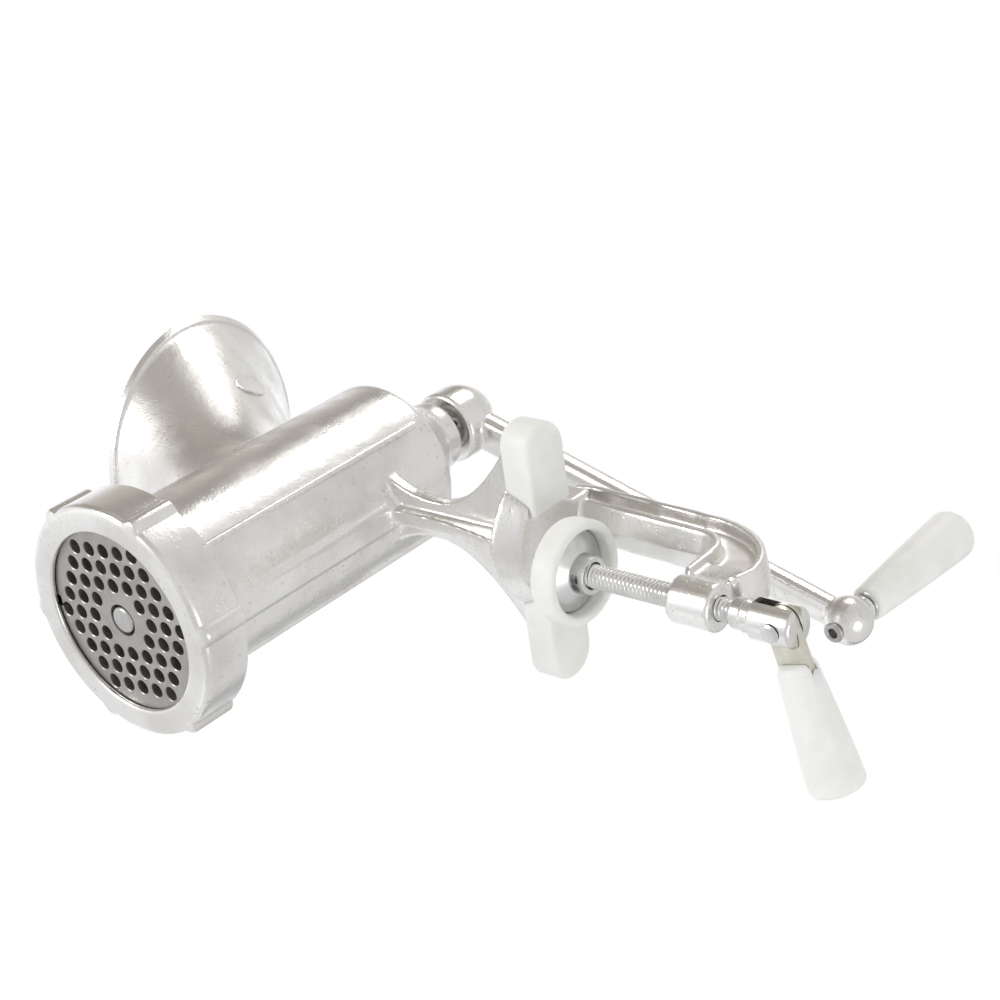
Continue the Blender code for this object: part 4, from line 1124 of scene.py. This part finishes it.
@dataclass
class Crank:
    """Auger, stud, crank arm, its screw, and the spinning grip."""

    length: float = 165.0
    rest: float = math.radians(15.8)
    arm_y: float = 76.8
    hub_front: float = 66.5
    hub_r: float = 13.2
    ball_r: float = 8.3
    grip_start: float = 87.6
    grip_end: float = 144.8
    flight_start: float = -72.0
    flight_run: float = 96.0
    flight_turns: float = 3.0
    grain: float = 0.5
    passes: int = 3
    triangles: int = 90000

    def spot(self, distance: float, y: float) -> Array:
        """Point on the arm's middle line at a distance from the crank axis."""
        return np.array([-distance * math.sin(self.rest), y, AXIS_Z - distance * math.cos(self.rest)])

    def auger(self, rack: Finishes) -> None:
        """Cast auger: core, journal, square ends and the flight.

        Formula of the flight: at share f of three turns the bar's middle stands at
        y = -72 + 96 (0.62 f + 0.38 f^2), and its section reaches from radius 8 to 25.

        Args:
            rack: finishes that the pieces are dressed from.
        """
        core = rounded([(0.0, 63.6), (7.4, 63.6), (8.0, 63.0), (8.0, 32.8), (16.0, 32.8),
                        (16.0, 28.4), (12.0, 25.0), (10.5, -40.0), (9.2, -76.3), (0.0, -76.3)], 0.5)
        made = solid("auger_cast", turned(core, Axis.Y, HUB, 64))
        f = np.linspace(0.0, 1.0, 200)[:, None]
        angle = -2.0 * self.flight_turns * np.pi * f
        middle = self.flight_start + self.flight_run * (0.62 * f + 0.38 * f * f)
        radius = np.array([[8.0, 8.0, 24.4, 25.0, 25.0, 24.4]])
        width = np.array([[-3.1, 3.1, 1.6, 1.0, -1.0, -1.6]])
        flight = np.stack([radius * np.cos(angle), middle + width, AXIS_Z + radius * np.sin(angle)], axis=-1)
        corner = rounded([(5.4, 3.4), (3.4, 5.4), (-3.4, 5.4), (-5.4, 3.4), (-5.4, -3.4),
                          (-3.4, -5.4), (3.4, -5.4), (5.4, -3.4)], 0.3, 2, True)
        turn = -self.rest
        square = np.stack([corner[:, 0] * math.cos(turn) - corner[:, 1] * math.sin(turn),
                           AXIS_Z + corner[:, 0] * math.sin(turn) + corner[:, 1] * math.cos(turn)], axis=-1)
        combine(made, Join.ADD, solid("flight", flight),
                solid("square_end", extruded(square, Plane.XZ, 62.0, 80.0)),
                block("square_tip", Plane.XZ, (-5.0, AXIS_Z - 5.0), (5.0, AXIS_Z + 5.0), -81.4, -75.0))
        combine(made, Join.CUT, rod("socket", Axis.Y, HUB, 4.8, -90.0, -57.6, 32),
                rod("tapping", Axis.Y, HUB, 2.8, 69.6, 90.0, 24))
        rack.dress(smooth(made, 40.0), "auger_iron", Body.CRANK, "auger")
        stud = rounded([(0.0, -58.0), (4.5, -58.0), (4.5, -87.7), (3.9, -88.3), (0.0, -88.4)], 0.4)
        pin = solid("auger_stud_turned", turned(stud, Axis.Y, HUB, 64))
        rack.dress(smooth(pin), "stud_steel", Body.CRANK, "auger_stud")

    def arm(self, rack: Finishes) -> None:
        """Cast arm with a domed hub, a flat-faced ball and a boss for the grip.

        Formula of the bar: at share f the section is the superellipse of power 0.75 with half
        width 7 - 1.9 f and half thickness 5 - 1.2 f, carried from the hub to the ball.

        Args:
            rack: finishes that the pieces are dressed from.
        """
        round_to = np.radians(np.linspace(90.0, 0.0, 16))
        dome = np.stack([self.hub_r * np.cos(round_to),
                         74.6 + self.hub_r * np.sin(round_to) * 0.965], axis=-1)
        foot = [(self.hub_r, self.hub_front + 1.0), (self.hub_r - 1.0, self.hub_front), (0.0, self.hub_front)]
        made = solid("crank_arm_cast", turned(np.vstack([dome, foot]), Axis.Y, HUB, 96))
        along = self.spot(1.0, 0.0) - self.spot(0.0, 0.0)
        across = np.array([along[2], 0.0, -along[0]])
        f = np.linspace(0.0, 1.0, 24)[:, None]
        angle = angles(48)[None, :]
        c, s = np.cos(angle), np.sin(angle)
        wide = (7.0 - 1.9 * f) * np.sign(c) * np.abs(c) ** 0.75
        deep = (5.0 - 1.2 * f) * np.sign(s) * np.abs(s) ** 0.75
        far = 4.0 + (self.length - 6.0) * f
        bar = (self.spot(0.0, self.arm_y) + along * far[..., None] + across * wide[..., None]
               + np.array([0.0, 1.0, 0.0]) * deep[..., None])
        end = self.spot(self.length, self.arm_y)
        tip = np.radians(np.linspace(90.0, -66.0, 24))
        ball = np.stack([self.ball_r * np.cos(tip), self.ball_r * np.sin(tip)], axis=-1)
        ball = np.vstack([ball, [(3.3, -7.9), (0.0, -7.9)]])
        boss = np.array([(0.0, self.arm_y), (4.9, self.arm_y), (4.9, 85.8), (4.5, 86.2), (0.0, 86.2)])
        combine(made, Join.ADD, solid("bar", bar), solid("ball", turned(ball, Axis.Y, end, 96)),
                solid("boss", turned(boss, Axis.Y, (end[0], 0.0, end[2]), 64)))
        recast(made, self.grain, self.passes, self.triangles)
        turn = Matrix.Rotation(self.rest, 4, "Y")
        drive = block("drive", Plane.XZ, (-5.75, -5.75), (5.75, 5.75), self.hub_front - 2, 81.0)
        clear = np.array([(0.0, 80.0), (2.8, 80.0), (2.8, 83.6), (4.9, 83.6), (4.9, 92.0), (0.0, 92.0)])
        combine(made, Join.CUT, swung(drive, turn, HUB),
                rod("pin_hole", Axis.Y, (end[0], 0.0, end[2]), 2.9, 60.0, 95.0, 48),
                solid("screw_clear", turned(clear, Axis.Y, HUB, 48)))
        rack.dress(smooth(made, 45.0), "crank_aluminium", Body.CRANK, "crank_arm")

    def hardware(self, rack: Finishes) -> None:
        """Fixing screw, hollow-riveted pin and flat washer.

        Args:
            rack: finishes that the pieces are dressed from.
        """
        profile = rounded([(0.0, 86.6), (2.6, 86.4), (4.0, 85.6), (4.5, 84.4), (4.5, 83.9),
                           (2.5, 83.9), (2.5, 70.2), (0.0, 70.2)], 0.35)
        screw = solid("crank_screw_turned", turned(profile, Axis.Y, HUB, 64))
        combine(screw, Join.CUT,
                block("slot", Plane.XZ, (-0.6, AXIS_Z - 6), (0.6, AXIS_Z + 6), 85.4, 90.0))
        rack.dress(smooth(screw), "screw_zinc", Body.CRANK, "crank_fixing_screw")
        end = self.spot(self.length, 0.0)
        pin = rounded([(0.0, 146.6), (3.6, 146.3), (4.6, 145.1), (2.6, 145.1), (2.6, 68.4),
                       (3.4, 68.2), (3.5, 67.4), (2.9, 66.9), (1.9, 66.9), (1.6, 67.3), (1.5, 70.0),
                       (0.0, 70.0)], 0.25)
        spindle = solid("handle_pin_turned", turned(pin, Axis.Y, end, 64))
        rack.dress(smooth(spindle), "pin_steel", Body.CRANK, "handle_pin")
        flat = rounded([(2.9, 87.3), (5.4, 87.3), (5.4, 86.5), (2.9, 86.5)], 0.2, 2, True)
        washer = solid("grip_washer_turned", turned(flat, Axis.Y, end, 64), loop=True)
        rack.dress(smooth(washer), "screw_zinc", Body.CRANK, "grip_washer")

    def build(self, rack: Finishes) -> None:
        """Makes the turning pieces.

        Args:
            rack: finishes that the pieces are dressed from.
        """
        self.auger(rack)
        self.arm(rack)
        self.hardware(rack)
        rack.redress("thrust_washer", "washer_white")
        grip = flared_grip(self.grip_start, self.grip_end, 6.1, 9.0, 2.9)
        made = solid("crank_grip_moulded", turned(grip, Axis.Y, self.spot(self.length, 0.0), 96), loop=True)
        rack.dress(smooth(made, 60.0), "grip_white", Body.GRIP, "crank_grip")


def flared_grip(start: float, end: float, small: float, large: float, bore: float) -> Array:
    """Profile of a flared plastic grip with rounded ends.

    Formula: at share f from the far end the radius is large + (small - large) f^1.25.

    Args:
        start: place of the narrow end along the axis.
        end: place of the wide end.
        small: radius at the narrow end.
        large: radius at the wide end.
        bore: radius of the hole, or nought for none.

    Returns:
        The closed profile, radius and place a row.
    """
    f = np.linspace(0.0, 1.0, 24)
    side = np.stack([large + (small - large) * f ** 1.25, end - 1.6 - (end - start - 3.0) * f], axis=-1)
    ends = [(bore, end), (large - 1.8, end), (large - 0.6, end - 0.5)]
    return rounded(np.vstack([ends, side, [(small - 1.2, start), (bore, start)]]), 0.6, 3, True)


@dataclass
class TableClamp:
    """Jaw pads, clamping pad, screw and swinging lever."""

    screw_r: float = 3.8
    root_r: float = 3.15
    thread_pitch: float = 1.5
    thread_top: float = -21.2
    thread_end: float = -76.4
    pivot_z: float = -92.9
    clevis_r: float = 6.4
    clevis_top: float = -84.6
    clevis_end: float = -98.9
    droop: float = math.radians(16.0)
    lever_thick: float = 2.6
    pad_right: tuple[float, float] = (12.3, 41.3)  # the right pad is pushed on further
    pad_left: tuple[float, float] = (17.6, 48.8)
    pad_front_r: float = 7.5
    pad_back_r: float = 9.5
    pad_edge: float = 1.6
    pad_height: float = 11.6

    def jaw_pad(self, side: int, rack: Finishes) -> None:
        """Cap pushed over one horn of the jaw.

        Formula: the outline is drawn in by 1.6 (1 - cos w) while the level rises by
        1.6 sin w, at the top and at the bottom, so that every edge is a quarter round.

        Args:
            side: 1 for the right, -1 for the left.
            rack: finishes that the pieces are dressed from.
        """
        near, far = self.pad_right if side > 0 else self.pad_left
        large, small, edge = self.pad_back_r, self.pad_front_r, self.pad_edge

        def outline(inset: float) -> Array:
            """Pad's outline drawn in by the inset.

            Args:
                inset: how far the outline is drawn in.

            Returns:
                Points in X and Y.
            """
            front, back = np.radians(np.linspace(-90, 0, 16)), np.radians(np.linspace(0, 90, 20))
            r_front, r_back = small - inset, large - inset
            arc_front = np.stack([far - small + r_front * np.cos(front),
                                  12.0 + r_front * np.sin(front)], axis=-1)
            arc_back = np.stack([far - large + r_back * np.cos(back),
                                 13.0 + r_back * np.sin(back)], axis=-1)
            inner = np.array([(near + inset, 22.5 - inset), (near + inset, 4.5 + inset)])
            return np.vstack([arc_front, arc_back, inner])
        w = np.radians(np.linspace(90.0, 0.0, 8))
        insets = np.concatenate([edge * (1 - np.cos(w)), edge * (1 - np.cos(w[::-1]))])
        levels = np.concatenate([edge * (1 - np.sin(w)),
                                 self.pad_height - edge * (1 - np.sin(w[::-1]))])
        rings = np.stack([np.column_stack([outline(inset), np.full(38, level)])
                          for inset, level in zip(insets, levels)])
        rings[..., 0] *= side
        name = "jaw_pad_right" if side > 0 else "jaw_pad_left"
        pad = solid(f"{name}_moulded", rings)
        first, last = sorted((side * (near - 3.0), side * 36.4))
        combine(pad, Join.CUT, block("pocket", Plane.XY, (first, 7.3), (last, 19.7), 2.1, 9.7))
        rack.dress(smooth(pad, 40.0), "pad_white", Body.CASTING, name)

    def screw(self, rack: Finishes) -> None:
        """Clamp screw with a rolled thread, a collar and a slotted clevis.

        Formula of the thread: at height z and angle v the radius is the root plus the depth
        times a rounded triangle wave of z / pitch - v / (2 pi), faded out at both ends.

        Args:
            rack: finishes that the pieces are dressed from.
        """
        steps = 64
        height = np.linspace(self.thread_top, self.thread_end, 480)[:, None]
        angle = angles(steps)[None, :]
        phase = (height / self.thread_pitch - angle / (2 * np.pi)) % 1.0
        wave = 1.0 - np.abs(2.0 * phase - 1.0)
        wave = wave * wave * (3.0 - 2.0 * wave)
        fade = (np.clip((self.thread_top - height) / 1.2, 0, 1)
                * np.clip((height - self.thread_end) / 1.2, 0, 1))
        radius = self.root_r + (self.screw_r - self.root_r) * wave * fade
        thread = np.stack([radius * np.cos(angle), radius * np.sin(angle),
                           np.broadcast_to(height, radius.shape)], axis=-1)
        tip = np.array([(0.0, -17.0), (3.1, -17.0), (3.4, -17.3), (3.4, -20.4), (3.15, -20.7)])
        r, ct, ce = self.clevis_r, self.clevis_top, self.clevis_end
        tail = rounded([(3.3, -76.5), (4.8, -77.2), (4.8, -80.6), (5.3, -81.4), (5.0, ct + 1.0),
                        (r, ct), (r, ce + 0.8), (r - 0.8, ce), (0.0, ce)], 0.35)
        rings = [turned(tip, Axis.Z, ORIGIN, steps), thread, turned(tail, Axis.Z, ORIGIN, steps)]
        made = solid("clamp_screw_rolled", np.concatenate(rings))
        half = self.lever_thick / 2 + 0.3
        combine(made, Join.CUT,
                block("clevis_slot", Plane.XZ, (-9.0, ce - 2), (9.0, self.pivot_z + 8), -half, half),
                rod("pivot_hole", Axis.Y, (0.0, 0.0, self.pivot_z), 2.8, -10.0, 10.0, 48))
        rack.dress(smooth(made, 40.0), "screw_bright_zinc", Body.SCREW, "clamp_screw")

    def clamp_pad(self, rack: Finishes) -> None:
        """Cupped plastic pad, the dished disc with its windowed collar, and the peened washer.

        Args:
            rack: finishes that the pieces are dressed from.
        """
        cup = rounded([(0.0, -11.5), (14.4, -11.5), (16.2, -12.7), (16.8, -14.7), (16.8, -20.6),
                       (16.0, -21.4), (14.3, -21.4), (13.5, -20.4), (13.5, -14.4), (0.0, -14.4)], 0.7)
        made = solid("clamp_pad_moulded", turned(cup, Axis.Z, ORIGIN, 128))
        rack.dress(smooth(made, 40.0), "pad_white", Body.PAD, "clamp_pad_cap")
        dish = rounded([(3.7, -17.2), (5.9, -17.2), (12.6, -15.0), (13.0, -15.6), (13.0, -17.0), (6.4, -19.8),
                        (6.0, -24.6), (4.3, -24.6), (4.3, -20.0), (3.7, -20.0)], 0.3, 3, True)
        disc = solid("swivel_disc_pressed", turned(dish, Axis.Z, ORIGIN, 128), loop=True)
        combine(disc, Join.CUT, block("window", Plane.XY, (-3.4, -8.0), (2.4, -3.4), -22.9, -20.5))
        rack.dress(smooth(disc, 35.0), "screw_zinc", Body.PAD, "clamp_swivel_disc")
        peen = rounded([(0.0, -14.7), (4.6, -14.7), (5.0, -15.2), (5.0, -16.7), (0.0, -16.7)], 0.3)
        washer = solid("swivel_retainer_peened", turned(peen, Axis.Z, ORIGIN, 64))
        rack.dress(smooth(washer), "pin_steel", Body.SCREW, "swivel_retainer")

    def along(self, distance: Array, side: Array) -> Array:
        """Points in the lever's plane, X and Z, from their place along it and across it."""
        ux, uz = -math.cos(self.droop), -math.sin(self.droop)
        return np.stack([distance * ux - side * uz, self.pivot_z + distance * uz + side * ux], axis=-1)

    def lever(self, rack: Finishes) -> None:
        """Flat lever, its rivet and the grip moulded over its end.

        Args:
            rack: finishes that the pieces are dressed from.
        """
        a = np.radians(np.linspace(-80.0, 80.0, 25))
        eye = self.along(-5.4 * np.cos(a), 5.4 * np.sin(a))
        rest = self.along(np.array([14.0, 44.0, 46.0, 44.0, 14.0]), np.array([5.6, 3.2, 0.0, -3.2, -5.6]))
        half = self.lever_thick / 2
        made = solid("clamp_lever_pressed", extruded(np.vstack([eye, rest]), Plane.XZ, -half, half))
        pivot = (0.0, 0.0, self.pivot_z)
        combine(made, Join.CUT, rod("lever_hole", Axis.Y, pivot, 2.8, -5.0, 5.0, 48))
        softened(made, 0.3, 2, 50.0)
        rack.dress(smooth(made), "lever_zinc", Body.LEVER, "clamp_lever")
        head = rounded([(0.0, 7.4), (2.2, 7.3), (3.1, 6.7), (2.5, 6.7), (2.5, -6.7), (3.1, -6.7), (2.2, -7.3),
                        (0.0, -7.4)], 0.2)
        rivet = solid("lever_rivet_headed", turned(head, Axis.Y, pivot, 64))
        rack.dress(smooth(rivet), "screw_zinc", Body.LEVER, "lever_rivet")
        profile = flared_grip(12.4, 53.4, 6.1, 8.9, 0.0)
        grip = solid("lever_grip_moulded", turned(profile, Axis.Z, ORIGIN, 96))
        pocket = np.array([(-6.2, 10.0), (-6.2, 14.4), (-3.6, 44.4), (-0.5, 46.6), (0.5, 46.6), (3.6, 44.4),
                           (6.2, 14.4), (6.2, 10.0)])
        combine(grip, Join.CUT, solid("pocket", extruded(pocket, Plane.XZ, -half - 0.3, half + 0.3)))
        swing = Matrix.Rotation(math.pi + math.pi / 2 - self.droop, 4, "Y")
        swung(grip, swing, pivot)
        rack.dress(smooth(grip, 60.0), "grip_white", Body.LEVER, "lever_grip")

    def build(self, rack: Finishes) -> None:
        """Makes the clamp's pieces.

        Args:
            rack: finishes that the pieces are dressed from.
        """
        self.jaw_pad(1, rack)
        self.jaw_pad(-1, rack)
        self.clamp_pad(rack)
        self.screw(rack)
        self.lever(rack)


# ---- studio ----------------------------------------------------------------

@dataclass
class Studio:
    """Pale room, soft lights and the camera."""

    eye: tuple[float, float, float] = (0.3133, -0.4556, -0.4237)
    right: tuple[float, float, float] = (-0.137, 0.635, -0.760)
    up: tuple[float, float, float] = (0.895, 0.408, 0.179)
    back: tuple[float, float, float] = (0.424, -0.656, -0.624)
    lens: float = 80.3
    floor_z: float = -1.4
    floor_half: float = 60.0
    middle: tuple[float, float, float] = (0.0, 0.02, 0.03)

    def camera(self) -> None:
        """Camera at its place, looking up at the underside."""
        data = bpy.data.cameras.new("camera")
        data.lens, data.sensor_width = self.lens, 36.0
        data.clip_start, data.clip_end = 0.02, 200.0
        made = linked("camera", data)
        turn = Matrix((self.right, self.up, self.back)).transposed()
        made.matrix_world = Matrix.Translation(self.eye) @ turn.to_quaternion().to_matrix().to_4x4()
        bpy.context.scene.camera = made

    def lamp(self, name: str, side: float, rise: float, near: float, size: float, power: float) -> None:
        """Softbox placed from the middle of the object along the camera's own axes.

        Args:
            name: name of the lamp.
            side: distance to the right, in metres.
            rise: distance upwards.
            near: distance towards the camera.
            size: width of its round face.
            power: its power in watts.
        """
        data = bpy.data.lights.new(name, "AREA")
        data.shape, data.size, data.energy = "DISK", size, power
        made = linked(name, data)
        middle = Vector(self.middle)
        spot = middle + Vector(self.right) * side + Vector(self.up) * rise + Vector(self.back) * near
        aim = (spot - middle).to_track_quat("Z", "Y")
        made.matrix_world = Matrix.Translation(spot) @ aim.to_matrix().to_4x4()

    def room(self) -> None:
        """White room: pure white to the eye, softly graded where the metal mirrors it."""
        world = bpy.data.worlds.new("room")
        world.use_nodes = True
        bpy.context.scene.world = world
        bench = Bench(world.node_tree)
        way = bench.add("ShaderNodeTexCoord", output="Generated")
        lift, side, front = [bench.add("ShaderNodeVectorMath", {"operation": "DOT_PRODUCT"},
                                       {0: way, 1: line}, "Value")
                             for line in (self.up, self.right, self.back)]
        mottle = {"Vector": way, "Scale": 2.3, "Detail": 3.0, "Roughness": 0.55}
        drift = bench.add("ShaderNodeTexNoise", {"noise_dimensions": "3D"}, mottle, "Fac")
        drift = drift.ramp(0.40, 0.60)
        above = (lift - side * 0.25).ramp(0.45, 0.72) * (1 - front.ramp(0.50, 0.85))
        sweep = side * 0.9 - lift * 0.5
        strip = sweep.ramp(0.42, 0.54) * (1 - sweep.ramp(0.66, 0.80))
        tone = lift.ramp(-1.0, 0.4, 0.86, 1.00) - above * 0.55 - strip * 0.50 - front.ramp(0.30, 0.95) * 0.24
        tone = tone * (drift * 0.36 + 0.78)
        warm = bench.blend(above, (0.985, 0.99, 1.0, 1.0), (1.0, 0.94, 0.86, 1.0))
        seen = bench.add("ShaderNodeLightPath", output="Is Camera Ray")
        colour = bench.blend(seen, warm, WHITE)
        power = tone * (1 - seen) + seen
        glow = bench.add("ShaderNodeBackground", {}, {"Color": colour, "Strength": power})
        bench.add("ShaderNodeOutputWorld", {}, {"Surface": glow})

    def floor(self) -> None:
        """Pale floor well below the object."""
        half = self.floor_half
        edge = np.array([(-half, -half), (half, -half), (half, half), (-half, half)])
        mesh = bpy.data.meshes.new("studio_floor")
        mesh.from_pydata(np.column_stack([edge, np.full(4, self.floor_z)]).tolist(), [], [(0, 1, 2, 3)])
        made = linked("studio_floor", mesh)
        paint, bench = blank("studio_floor")
        grain = bench.noise(bench.place(), 3.0, 3.0)
        tone = bench.blend(grain * 0.5, (0.90, 0.90, 0.90, 1.0), (0.86, 0.86, 0.86, 1.0))
        close(bench, {"Roughness": 0.7}, {"Base Color": tone})
        mesh.materials.append(paint)
        made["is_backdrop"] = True

    def build(self) -> None:
        """Sets up the studio."""
        bpy.context.scene.view_settings.view_transform = "Standard"
        self.camera()
        self.room()
        self.floor()
        for lamp in (("key", -0.95, 0.30, 0.45, 0.40, 4.0), ("fill", 0.65, -0.45, 0.75, 0.5, 1.8),
                     ("rim", 0.2, 0.9, -0.2, 0.4, 1.6)):
            self.lamp(*lamp)


def numbers(value: Any) -> Any:
    """A box as plain nested lists of numbers.

    Args:
        value: box, list or number.

    Returns:
        The same numbers in plain lists.
    """
    if isinstance(value, dict):
        return {key: numbers(part) for key, part in value.items()}
    if isinstance(value, (int, float)):
        return float(value)
    return [numbers(part) for part in value]


def main() -> None:
    """Builds every piece in order, working out the box round the frame before and the box round the finished
    pieces after.
    """
    logging.basicConfig(level=logging.INFO, format="%(message)s")
    cad = numbers(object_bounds())
    Studio().build()
    rack = Finishes()
    for assembly in (BodyCasting(), Outlet(), Crank(), TableClamp()):
        LOG.info("building %s", type(assembly).__name__)
        assembly.build(rack)
    {"cad": cad, "visual": numbers(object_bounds())}


if __name__ == "__main__":
    main()
